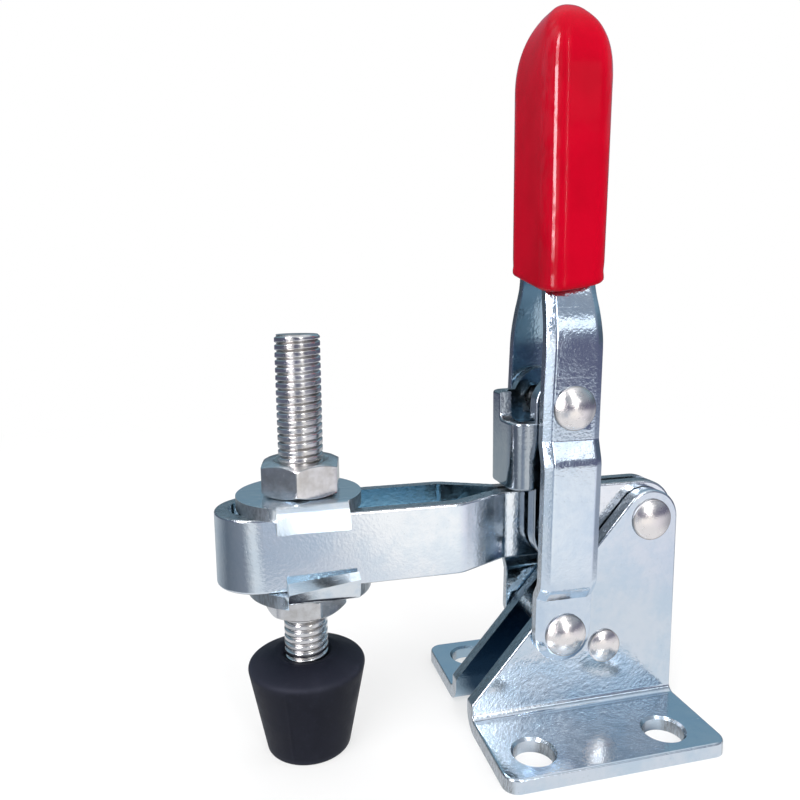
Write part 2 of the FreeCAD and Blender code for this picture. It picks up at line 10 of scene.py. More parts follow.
import bmesh
import bpy
from mathutils import Matrix, Vector

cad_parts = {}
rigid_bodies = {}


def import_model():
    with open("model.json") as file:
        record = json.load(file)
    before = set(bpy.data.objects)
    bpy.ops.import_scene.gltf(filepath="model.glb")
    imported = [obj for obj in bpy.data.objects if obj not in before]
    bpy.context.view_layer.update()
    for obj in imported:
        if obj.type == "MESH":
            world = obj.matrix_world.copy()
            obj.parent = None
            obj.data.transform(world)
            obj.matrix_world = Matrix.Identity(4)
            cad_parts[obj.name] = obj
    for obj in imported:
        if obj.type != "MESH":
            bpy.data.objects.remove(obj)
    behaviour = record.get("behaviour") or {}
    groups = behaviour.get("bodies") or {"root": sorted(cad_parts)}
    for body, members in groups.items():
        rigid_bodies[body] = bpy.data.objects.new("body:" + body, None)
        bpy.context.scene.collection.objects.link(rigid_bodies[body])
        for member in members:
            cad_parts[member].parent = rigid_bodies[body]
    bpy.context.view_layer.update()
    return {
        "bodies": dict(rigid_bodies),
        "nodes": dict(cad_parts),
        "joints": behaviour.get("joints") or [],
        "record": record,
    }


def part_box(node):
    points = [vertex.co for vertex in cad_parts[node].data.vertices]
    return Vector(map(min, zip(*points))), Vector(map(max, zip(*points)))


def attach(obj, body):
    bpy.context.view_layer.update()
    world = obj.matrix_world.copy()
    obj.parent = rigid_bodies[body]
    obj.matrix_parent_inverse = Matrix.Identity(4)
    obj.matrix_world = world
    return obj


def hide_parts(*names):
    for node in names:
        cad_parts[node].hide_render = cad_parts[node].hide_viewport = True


LOG = logging.getLogger("toggle_clamp")
MM = 0.001
FRAME: dict[str, Any] = {}
Colour = tuple[float, float, float, float]
Profile = list[tuple[float, float]]
Values = dict[int | str, Any]


# Node graphs


def step_of(operation: str, swapped: bool = False) -> Callable[..., "Level"]:
    """Method of Level that adds one Math node.

    Args:
        operation: name of the Math node's operation.
        swapped: whether the level comes after the other value.

    Returns:
        The method.
    """
    def apply(*terms: Any) -> "Level":
        """Result of the operation on a level and any other value."""
        return terms[0].maths(operation, *(terms[::-1] if swapped else terms))

    return apply


@dataclass(frozen=True, eq=False)
class Level:
    """A number or vector in a node graph, used in plain arithmetic."""

    graph: "Graph"
    socket: bpy.types.NodeSocket

    __add__, __radd__ = step_of("ADD"), step_of("ADD", True)
    __sub__, __rsub__ = step_of("SUBTRACT"), step_of("SUBTRACT", True)
    __mul__, __rmul__ = step_of("MULTIPLY"), step_of("MULTIPLY", True)
    __truediv__, __rtruediv__ = step_of("DIVIDE"), step_of("DIVIDE", True)
    low, high, above = step_of("MINIMUM"), step_of("MAXIMUM"), step_of("GREATER_THAN")
    fraction, size = step_of("FRACT"), step_of("ABSOLUTE")
    sine, cosine = step_of("SINE"), step_of("COSINE")

    def __neg__(self) -> "Level":
        """Negative."""
        return self.maths("MULTIPLY", self, -1.0)

    def maths(self, operation: str, *values: Any) -> "Level":
        """Result of one Math node on numbers or levels."""
        return self.graph.add("ShaderNodeMath", dict(enumerate(values)), operation=operation).out(0)

    def spread(self, low: float, high: float, start: float = 0.0, end: float = 1.0) -> "Level":
        """Map one range smoothly onto another.

        Args:
            low: value that gives start.
            high: value that gives end.
            start: result at and below low.
            end: result at and above high.

        Returns:
            The mapped value.
        """
        return self.graph.add(
            "ShaderNodeMapRange",
            {"Value": self, "From Min": low, "From Max": high, "To Min": start, "To Max": end},
            interpolation_type="SMOOTHSTEP",
        ).out(0)


@dataclass(frozen=True)
class Node:
    """One node of a graph."""

    graph: "Graph"
    node: bpy.types.Node

    def out(self, key: int | str) -> Level:
        """Output by its name or place."""
        return Level(self.graph, self.node.outputs[key])


class Graph:
    """A node tree that is written as calls and expressions."""

    def __init__(self, tree: bpy.types.NodeTree) -> None:
        """Wrap an empty shader or geometry tree."""
        self.tree = tree

    def add(self, kind: str, values: Optional[Values] = None, **settings: Any) -> Node:
        """Add a node.

        Args:
            kind: Blender's name of the node's type.
            values: numbers, colours, levels or nodes for the sockets.
            settings: properties, set before any socket, and the stops of a ramp.

        Returns:
            The wrapped node.
        """
        node = self.tree.nodes.new(kind)
        for key, value in settings.items():
            if key == "stops":
                self._set_stops(node, value)
            else:
                setattr(node, key, value)
        for key, value in (values or {}).items():
            self.plug(node.inputs[key], value)
        return Node(self, node)

    @staticmethod
    def _set_stops(node: bpy.types.Node, stops: Sequence[tuple[float, ...]]) -> None:
        """Set a ramp's stops.

        Args:
            node: Color Ramp node.
            stops: place, red, green and blue of each stop, the first at nought, the last at one.
        """
        elements = node.color_ramp.elements
        for place, *_ in stops[1:-1]:
            elements.new(place)
        for element, (_, *colour) in zip(elements, stops):
            element.color = (*colour, 1.0)

    def plug(self, socket: bpy.types.NodeSocket, value: Any) -> None:
        """Link a level or node to a socket, or set a plain value.

        Args:
            socket: input socket.
            value: level, node, or a value that the socket takes.
        """
        if isinstance(value, Node):
            value = value.out(0)
        if isinstance(value, Level):
            self.tree.links.new(value.socket, socket)
        else:
            socket.default_value = value

    def blend(self, factor: Any, first: Any, second: Any) -> Level:
        """Mix two colours by the second one's share."""
        return self.add("ShaderNodeMix", {0: factor, 6: first, 7: second}, data_type="RGBA").out(2)

    def either(self, factor: Any, first: Any, second: Any) -> Node:
        """Mix two shaders by the second one's share."""
        return self.add("ShaderNodeMixShader", {0: factor, 1: first, 2: second})

    def vector(self, operation: str, *values: Any) -> Node:
        """Vector Math node of one operation."""
        return self.add("ShaderNodeVectorMath", dict(enumerate(values)), operation=operation)

    def point(self, **places: Any) -> Node:
        """Vector from its X, Y and Z."""
        return self.add("ShaderNodeCombineXYZ", places)

    def axes(self, vector: Any) -> tuple[Level, ...]:
        """X, Y and Z of a vector."""
        return tuple(map(self.add("ShaderNodeSeparateXYZ", {0: vector}).out, "XYZ"))


class Skin(Graph):
    """Node tree of one surface finish."""

    def __init__(self, name: str) -> None:
        """Start a material with an empty tree.

        Args:
            name: name of the material.
        """
        self.material = bpy.data.materials.new(name)
        self.material.use_nodes = True
        super().__init__(self.material.node_tree)
        self.tree.nodes.clear()
        self.place = self.add("ShaderNodeTexCoord").out("Object")

    def pattern_place(self, scale: Sequence[float], turn: Sequence[float] = (0, 0, 0)) -> Level:
        """Object coordinates for a pattern.

        Args:
            scale: repeats per millimetre along each axis.
            turn: turn of the pattern in degrees.

        Returns:
            The mapped coordinates.
        """
        turned = [math.radians(angle) for angle in turn]
        values = {"Vector": self.place, "Rotation": turned, "Scale": [x / MM for x in scale]}
        return self.add("ShaderNodeMapping", values).out(0)

    def noise(
        self, scale: float | Sequence[float], detail: float = 3.0, rough: float = 0.5,
        turn: Sequence[float] = (0, 0, 0),
    ) -> Level:
        """Noise from nought to one.

        Args:
            scale: repeats per millimetre, for all axes or each.
            detail: number of finer layers.
            rough: weight of the finer layers.
            turn: turn of the pattern in degrees.

        Returns:
            The noise's level.
        """
        each = (scale,) * 3 if isinstance(scale, (int, float)) else scale
        place = self.pattern_place(each, turn)
        values = {"Vector": place, "Scale": 1.0, "Detail": detail, "Roughness": rough}
        return self.add("ShaderNodeTexNoise", values).out(0)

    def cells(self, scale: float) -> Level:
        """Distance to the nearest point of a scattered pattern."""
        place = self.pattern_place((scale,) * 3)
        return self.add("ShaderNodeTexVoronoi", {"Vector": place, "Scale": 1.0}).out(0)

    def attribute(self, name: str) -> Level:
        """A value that the mesh carries under a name."""
        return self.add("ShaderNodeAttribute", attribute_name=name).out("Fac")

    def bump(self, height: Level, depth: float, below: Optional[Level] = None) -> Level:
        """Relief from a height.

        Args:
            height: level from nought to one.
            depth: depth of the relief in millimetres.
            below: relief that this one lies on.

        Returns:
            The surface direction.
        """
        values: Values = {"Strength": 1.0, "Distance": depth * MM, "Height": height}
        if below is not None:
            values["Normal"] = below
        return self.add("ShaderNodeBump", values).out(0)

    def finish(self, **sockets: Any) -> bpy.types.Material:
        """Close the tree with one surface shader.

        Args:
            sockets: the shader's sockets, with underscores for spaces.

        Returns:
            The material.
        """
        values = {key.replace("_", " "): value for key, value in sockets.items()}
        shader = self.add("ShaderNodeBsdfPrincipled", values)
        self.add("ShaderNodeOutputMaterial", {"Surface": shader})
        return self.material


# Finishes


@dataclass(frozen=True)
class Finish:
    """A surface finish that is made once and shared."""

    name: str

    def draw(self, skin: Skin) -> bpy.types.Material:
        """Fill the skin's tree.

        Args:
            skin: empty skin.

        Returns:
            The material.
        """
        raise NotImplementedError

    def material(self) -> bpy.types.Material:
        """The finish's material, made at its first use."""
        return bpy.data.materials.get(self.name) or self.draw(Skin(self.name))


class CutFace(Enum):
    """The way that a sheet's cut edges face, by the axis of their normals."""

    ALONG = 0
    UP = 2


@dataclass(frozen=True)
class ZincPlate(Finish):
    """Bright zinc on cold-rolled sheet, with a faint orange peel, duller cut edges, and painted
    shade on the faces that look in towards the middle plane.
    """

    pale: Colour = (0.75, 0.81, 0.87, 1.0)
    blue: Colour = (0.6, 0.73, 0.84, 1.0)
    # Painted shade: tint of the faces that look in towards the middle plane, where the parts shade
    # each other
    inner: Colour = (0.36, 0.5, 0.6, 1.0)
    edge: Colour = (0.34, 0.36, 0.37, 1.0)
    pore: Colour = (0.35, 0.38, 0.45, 1.0)
    smooth: float = 0.09
    dull: float = 0.17
    peel_depth: float = 0.02
    grain_turn: Sequence[float] = (0, 0, 0)
    scratch_turn: Sequence[float] = (24, 18, 37)
    cut: CutFace = CutFace.ALONG
    cut_from: tuple[float, float] = (0.35, 0.7)

    def draw(self, skin: Skin) -> bpy.types.Material:
        """Fill the skin's tree."""
        cloud = skin.noise(0.11, 3.0, 0.6)
        mottle = skin.noise(0.75, 4.0, 0.6)
        peel = skin.noise(2.3, 2.0, 0.5)
        grain = skin.noise((0.08, 5.0, 5.0), 3.0, 0.6, self.grain_turn)
        pores = skin.cells(1.3).spread(0.03, 0.16, 1.0, 0.0)
        scratch = skin.noise((0.05, 9.0, 3.0), 1.0, 0.5, self.scratch_turn).spread(0.7, 0.76)
        facing = skin.axes(skin.add("ShaderNodeTexCoord").out("Normal"))
        cut = facing[self.cut.value].size().spread(*self.cut_from)
        # Mask of the painted shade on the faces that look in towards the middle plane
        inner_shade_mask = (-(skin.axes(skin.place)[1] * facing[1])).spread(0.0006, 0.0012)
        shear = skin.noise((1.2, 6.0, 1.2), 3.0, 0.6)
        clouded = (cloud * 0.7 + mottle * 0.3).spread(0.4, 0.64)
        tint = skin.blend(clouded * 0.7, self.pale, self.blue)
        tint = skin.blend(pores * 0.18, tint, self.pore)
        # Painted shade: the inward faces take the inner tint
        tint = skin.blend(inner_shade_mask, tint, skin.blend(mottle * 0.3, self.inner, self.edge))
        tint = skin.blend(cut * (0.55 + 0.45 * shear.spread(0.35, 0.65)), tint, self.edge)
        rough = self.smooth + (self.dull - self.smooth) * mottle.spread(0.35, 0.7)
        rough = (rough + scratch * 0.12 + pores * 0.1 + cut * 0.16).low(0.6)
        relief = skin.bump(peel, self.peel_depth)
        relief = skin.bump(grain, 0.0012, relief)
        relief = skin.bump(shear * cut, 0.03, relief)
        return skin.finish(Base_Color=tint, Metallic=1.0, Roughness=rough, Normal=relief)


@dataclass(frozen=True)
class RivetSteel(Finish):
    """Polished heads that a forming tool has closed, with its faint rings and painted shade towards
    the rim.
    """

    bright: Colour = (0.93, 0.88, 0.85, 1.0)
    # Painted shade at the head's rim
    shade: Colour = (0.22, 0.21, 0.21, 1.0)
    ring_count: float = 9.0

    def draw(self, skin: Skin) -> bpy.types.Material:
        """Fill the skin's tree."""
        radial = skin.attribute("radial")
        mottle = skin.noise(1.1, 4.0, 0.6)
        rings = (radial * (2 * math.pi * self.ring_count) + mottle * 2.0).sine() * 0.5 + 0.5
        # Painted shade: the head's colour darkens towards its rim
        rim = radial.spread(0.9, 1.0)
        tint = skin.blend(rim * 0.7 + mottle.spread(0.55, 0.8) * 0.15, self.bright, self.shade)
        rough = 0.2 + mottle.spread(0.3, 0.75) * 0.1 + rim * 0.15
        relief = skin.bump(mottle, 0.008, skin.bump(rings, 0.0025))
        return skin.finish(Base_Color=tint, Metallic=1.0, Roughness=rough, Normal=relief)


@dataclass(frozen=True)
class TurnedSteel(Finish):
    """Bare steel of the spindle and nuts, with painted shade in the thread's grooves and the nuts'
    bores.
    """

    bright: Colour = (0.79, 0.78, 0.78, 1.0)
    warm: Colour = (0.52, 0.49, 0.45, 1.0)
    # Painted shade in the thread's grooves and the nuts' bores
    groove_shade: Colour = (0.16, 0.14, 0.12, 1.0)

    def draw(self, skin: Skin) -> bpy.types.Material:
        """Fill the skin's tree."""
        groove = skin.attribute("groove")
        cloud = skin.noise(0.35, 3.0, 0.6)
        turning = skin.noise((0.3, 0.3, 14.0), 3.0, 0.6)
        speck = skin.noise(3.0, 3.0, 0.6)
        tint = skin.blend(cloud.spread(0.4, 0.7) * 0.6, self.bright, self.warm)
        # Painted shade where the groove level is high; it also makes the steel rougher there
        groove_shading = (groove.spread(0.35, 0.95) * (0.55 + 0.45 * cloud.spread(0.3, 0.7))).low(1.0)
        tint = skin.blend(groove_shading * 0.7, tint, self.groove_shade)
        rough = 0.17 + 0.08 * speck.spread(0.35, 0.7) + 0.25 * groove_shading
        relief = skin.bump(speck, 0.003, skin.bump(turning, 0.002))
        return skin.finish(Base_Color=tint, Metallic=1.0, Roughness=rough, Normal=relief)


@dataclass(frozen=True)
class DippedVinyl(Finish):
    """Glossy red vinyl, a little uneven where it cooled, with its thickest film at the corners."""

    red: Colour = (0.43, 0.001, 0.013, 1.0)
    deep: Colour = (0.3, 0.001, 0.008, 1.0)
    middle_x: float = -1.3
    corner_x: tuple[float, float] = (2.7, 3.7)
    corner_y: tuple[float, float] = (3.6, 4.9)

    def draw(self, skin: Skin) -> bpy.types.Material:
        """Fill the skin's tree."""
        lip = skin.attribute("lip")
        cloud = skin.noise(0.12, 2.0, 0.5)
        flow = skin.noise((0.2, 0.2, 0.06), 2.0, 0.5)
        fine = skin.noise(2.4, 3.0, 0.6)
        ripple = skin.noise(0.8, 2.0, 0.5)
        specks = skin.cells(0.6).spread(0.03, 0.06, 1.0, 0.0)
        tint = skin.blend(cloud.spread(0.35, 0.7) * 0.5 + lip * 0.5, self.red, self.deep)
        rough = 0.1 + 0.06 * fine.spread(0.35, 0.7) + 0.1 * lip + 0.12 * specks
        relief = skin.bump(ripple, 0.03, skin.bump(flow, 0.12))
        relief = skin.bump(fine, 0.004, relief)
        x, y, _ = skin.axes(skin.place)
        corner = (x / MM - self.middle_x).size().spread(*self.corner_x)
        corner = corner * (y / MM).size().spread(*self.corner_y)
        pools = skin.noise((1.3, 1.3, 0.4), 3.0, 0.65).spread(0.42, 0.56)
        return skin.finish(
            Base_Color=tint, Roughness=rough, Normal=relief, Specular_IOR_Level=0.04,
            Coat_Weight=0.03 + corner * (0.22 + 0.7 * pools), Coat_Roughness=0.04,
        )


@dataclass(frozen=True)
class MouldedRubber(Finish):
    """Matt black rubber with a fine grain, paler dust, and a painted highlight along its shoulder
    and foot edges.
    """

    black: Colour = (0.005, 0.006, 0.012, 1.0)
    # Paler tone for the painted highlight on the tip's edges, and for its dust
    edge_sheen: Colour = (0.022, 0.024, 0.036, 1.0)

    def draw(self, skin: Skin) -> bpy.types.Material:
        """Fill the skin's tree."""
        # Level of the painted highlight along the tip's shoulder and foot
        edge = skin.attribute("edge")
        cloud = skin.noise(0.25, 3.0, 0.6)
        grain = skin.noise(4.5, 3.0, 0.65)
        dust = skin.noise(1.3, 5.0, 0.7).spread(0.55, 0.75)
        # Painted highlight on the edges, mixed with paler dust
        dust_and_sheen = (edge * 0.7 + dust * 0.35 + cloud.spread(0.4, 0.7) * 0.2).low(1.0)
        tint = skin.blend(dust_and_sheen, self.black, self.edge_sheen)
        rough = 0.46 + 0.16 * cloud.spread(0.3, 0.7) + 0.1 * dust
        relief = skin.bump(cloud, 0.03, skin.bump(grain, 0.02))
        return skin.finish(
            Base_Color=tint, Roughness=rough, Normal=relief, Specular_IOR_Level=0.14
        )


class Surface(Enum):
    """The clamp's finishes."""

    ZINC_SHEET = ZincPlate("bright_zinc_sheet")
    ZINC_STRAP = ZincPlate(
        "bright_zinc_strap", pale=(0.74, 0.82, 0.9, 1.0), blue=(0.6, 0.72, 0.85, 1.0),
        peel_depth=0.028, grain_turn=(0, 90, 0), cut_from=(0.9, 0.97),
    )
    # The arm's inner tint is painted shade on its inward faces
    ZINC_ARM = ZincPlate(
        "bright_zinc_arm", pale=(0.89, 0.92, 0.95, 1.0), blue=(0.74, 0.83, 0.91, 1.0),
        inner=(0.62, 0.8, 0.9, 1.0), cut=CutFace.UP,
    )
    # A darker copy of the bright zinc: painted shade on the link, which sits between the straps
    ZINC_LINK_SHADED = ZincPlate(
        "bright_zinc_link_painted_shade", pale=(0.44, 0.48, 0.52, 1.0), blue=(0.36, 0.42, 0.48, 1.0),
        cut=CutFace.UP, grain_turn=(0, 90, 0),
    )
    ZINC_WASHER = ZincPlate(
        "bright_zinc_washer", pale=(0.83, 0.87, 0.89, 1.0), smooth=0.17, dull=0.24,
        peel_depth=0.007,
    )
    RIVET = RivetSteel("closed_rivet_steel")
    STEEL = TurnedSteel("turned_spindle_steel")
    VINYL = DippedVinyl("red_dipped_vinyl")
    RUBBER = MouldedRubber("black_moulded_rubber")

    def material(self) -> bpy.types.Material:
        """The finish's material."""
        return self.value.material()


def dress(node: str, surface: Surface) -> None:
    """Give a carried CAD node its finish.

    Args:
        node: name of the node.
        surface: its finish.
    """
    for slot in FRAME["nodes"][node].material_slots:
        slot.material = surface.material()
    LOG.info("dressed %s with %s", node, surface.name)


def show(name: str, data: Any) -> bpy.types.Object:
    """Put a mesh, lamp or camera in the scene.

    Args:
        name: name of the object.
        data: what it shows.

    Returns:
        The object.
    """
    made = bpy.data.objects.new(name, data)
    bpy.context.scene.collection.objects.link(made)
    return made


# Mesh building


class Shell:
    """A mesh in millimetres, put together ring by ring."""

    def __init__(self, name: str, layer: Optional[str] = None) -> None:
        """Start an empty mesh.

        Args:
            name: name of the piece.
            layer: name of a value that its points carry.
        """
        self.name = name
        self.mesh = bmesh.new()
        self.layer = self.mesh.verts.layers.float.new(layer) if layer else None

    def ring(self, points: Iterable[Sequence[float]], level: float = 0.0) -> list[Any]:
        """Add a ring of points.

        Args:
            points: places in millimetres.
            level: value that they carry.

        Returns:
            The new points.
        """
        made = []
        for point in points:
            vertex = self.mesh.verts.new([value * MM for value in point])
            if self.layer is not None:
                vertex[self.layer] = level
            made.append(vertex)
        return made

    def bridge(self, rings: Sequence[list[Any]]) -> None:
        """Join closed rings of equal length with quads, each to the next.

        Args:
            rings: the rings, in order.
        """
        for first, second in zip(rings, rings[1:]):
            for index, corner in enumerate(first):
                after = (index + 1) % len(first)
                self.mesh.faces.new((corner, first[after], second[after], second[index]))

    def cap(self, ring: list[Any], point: Sequence[float], level: float = 0.0) -> None:
        """Close a ring with a fan to one point.

        Args:
            ring: closed ring.
            point: the fan's middle in millimetres.
            level: value that the middle carries.
        """
        middle = self.ring([point], level)[0]
        for index, corner in enumerate(ring):
            self.mesh.faces.new((corner, ring[(index + 1) % len(ring)], middle))

    def ladder(self, ring: list[Any]) -> None:
        """Close a ring with rungs between its two sides.

        Args:
            ring: closed ring.
        """
        left, right = 0, len(ring) - 1
        while right - left > 2:
            self.mesh.faces.new((ring[left], ring[left + 1], ring[right - 1], ring[right]))
            left, right = left + 1, right - 1
        if right - left == 2:
            self.mesh.faces.new((ring[left], ring[left + 1], ring[right]))

    def lathe(
        self, profile: Profile, centre: tuple[float, float], steps: int,
        level: Callable[[float, float], float],
        push: Callable[[float, float, float], float] = lambda angle, radius, height: 0.0,
    ) -> None:
        """Turn a profile about a vertical axis.

        Args:
            profile: radius and height of each point, closed at the axis at both ends.
            centre: X and Y of the axis.
            steps: number of columns.
            level: value that a point carries, from its radius and height.
            push: growth of the radius, from the angle, radius and height.
        """
        rings = []
        for radius, height in profile[1:-1]:
            points = []
            for step in range(steps):
                angle = 2 * math.pi * step / steps
                points.append(around(centre, radius + push(angle, radius, height), angle, height))
            rings.append(self.ring(points, level(radius, height)))
        self.bridge(rings)
        for ring, end in ((rings[0], profile[0]), (rings[-1], profile[-1])):
            self.cap(ring, (*centre, end[1]), level(*end))

    def piece(self, surface: Surface, sharp: float = 30.0) -> bpy.types.Object:
        """Close the mesh and make its object.

        Args:
            surface: finish of the piece.
            sharp: angle in degrees past which an edge stays sharp.

        Returns:
            The object, in the scene.
        """
        bmesh.ops.recalc_face_normals(self.mesh, faces=self.mesh.faces[:])
        for face in self.mesh.faces:
            face.smooth = True
        for edge in self.mesh.edges:
            if len(edge.link_faces) == 2:
                edge.smooth = edge.calc_face_angle(0.0) < math.radians(sharp)
        data = bpy.data.meshes.new(self.name)
        self.mesh.to_mesh(data)
        self.mesh.free()
        data.materials.append(surface.material())
        return show(self.name, data)


class ShapeTree(Graph):
    """Geometry tree with named inputs, used as a modifier and then applied."""

    def __init__(self, name: str, inputs: dict[str, Any]) -> None:
        """Start a geometry tree.

        Args:
            name: name of the tree.
            inputs: name and first value of each input.
        """
        super().__init__(bpy.data.node_groups.new(name, "GeometryNodeTree"))
        face = self.tree.interface
        face.new_socket("Geometry", in_out="INPUT", socket_type="NodeSocketGeometry")
        self.keys: dict[str, str] = {}
        for label, value in inputs.items():
            socket = face.new_socket(label, in_out="INPUT", socket_type=self._kind(value))
            self.keys[label] = socket.identifier
        face.new_socket("Geometry", in_out="OUTPUT", socket_type="NodeSocketGeometry")
        self.take = self.add("NodeGroupInput").out

    @staticmethod
    def _kind(value: Any) -> str:
        """Socket type that suits a value."""
        kinds = {bpy.types.Material: "Material", int: "Int", float: "Float", tuple: "Vector"}
        return "NodeSocket" + kinds[type(value)]

    def close(self, geometry: Any) -> None:
        """End the tree.

        Args:
            geometry: the finished geometry.
        """
        real = self.add("GeometryNodeRealizeInstances", {"Geometry": geometry})
        values = {"Geometry": real, "Material": self.take("Material")}
        self.add("NodeGroupOutput", {0: self.add("GeometryNodeSetMaterial", values)})

    def bake(self, name: str, seed: bpy.types.Mesh, values: dict[str, Any]) -> bpy.types.Object:
        """Run the tree on a mesh and keep its result.

        Args:
            name: name of the piece.
            seed: mesh that the tree starts from.
            values: value of each named input.

        Returns:
            A plain object with the result.
        """
        holder = show(name + "_source", seed)
        modifier = holder.modifiers.new("shape", "NODES")
        modifier.node_group = self.tree
        for label, value in values.items():
            modifier[self.keys[label]] = value
        holder.update_tag()
        depsgraph = bpy.context.evaluated_depsgraph_get()
        data = bpy.data.meshes.new_from_object(holder.evaluated_get(depsgraph))
        data.name = name
        bpy.data.objects.remove(holder)
        return show(name, data)


def around(
    centre: Sequence[float], radius: float, angle: float, height: float
) -> tuple[float, float, float]:
    """Point on a level circle, at an angle in radians."""
    return centre[0] + radius * math.cos(angle), centre[1] + radius * math.sin(angle), height


def arc(
    centre: tuple[float, float], radius: float, start: float, end: float, steps: int
) -> Profile:
    """Points of an arc in a profile.

    Args:
        centre: radius and height of its middle.
        radius: its radius.
        start: first angle in degrees.
        end: last angle in degrees.
        steps: number of spans.

    Returns:
        The arc's points.
    """
    angles = [math.radians(start + (end - start) * step / steps) for step in range(steps + 1)]
    return [around(centre, radius, angle, 0.0)[:2] for angle in angles]


def between(track: Sequence[Sequence[float]], key: int, place: float) -> list[float]:
    """Point of a track of straight spans.

    Args:
        track: points, whose value at key doesn't fall.
        key: which value says how far along a point is.
        place: how far along.

    Returns:
        The values there, held past both ends.
    """
    for low, high in zip(track, track[1:]):
        if place <= high[key]:
            share = max((place - low[key]) / (high[key] - low[key]), 0.0)
            return [first + (last - first) * share for first, last in zip(low, high)]
    return list(track[-1])


def soften(corners: Sequence[tuple[float, float, float]], steps: int = 5) -> Profile:
    """Round the corners of a profile.

    Args:
        corners: radius, height and rounding of each corner.
        steps: spans of each rounding.

    Returns:
        The rounded profile.
    """
    made: Profile = []
    for index, (radius, height, bend) in enumerate(corners):
        here = Vector((radius, height))
        if bend <= 0 or index in (0, len(corners) - 1):
            made.append((radius, height))
            continue
        before = (Vector(corners[index - 1][:2]) - here).normalized()
        after = (Vector(corners[index + 1][:2]) - here).normalized()
        reach = bend / math.tan(before.angle(after) / 2)
        start, end = here + before * reach, here + after * reach
        for step in range(steps + 1):
            share = step / steps
            point = (1 - share) ** 2 * start + 2 * share * (1 - share) * here + share ** 2 * end
            made.append((point.x, point.y))
    return made


def drill(piece: bpy.types.Object, place: tuple[float, float], radius: float) -> None:
    """Cut a hole along Y through a piece.

    Args:
        piece: piece to cut.
        place: the hole's place, X and Z in millimetres.
        radius: its radius.
    """
    shell = Shell("drill_bit")
    circle = arc(place, radius, 0, 360, 48)[:-1]
    ends = [[(x, side, z) for x, z in circle] for side in (-20.0, 20.0)]
    rings = [shell.ring(end) for end in ends]
    shell.bridge(rings)
    for ring, end in zip(rings, ends):
        shell.cap(ring, (place[0], end[0][1], place[1]))
    bit = shell.piece(Surface.ZINC_STRAP)
    cut = piece.modifiers.new("hole", "BOOLEAN")
    cut.operation, cut.solver, cut.object = "DIFFERENCE", "EXACT", bit
    bpy.context.view_layer.update()
    shown = piece.evaluated_get(bpy.context.evaluated_depsgraph_get())
    made = bpy.data.meshes.new_from_object(shown)
    piece.modifiers.clear()
    piece.data = made
    bpy.data.objects.remove(bit)


# Sub-assemblies


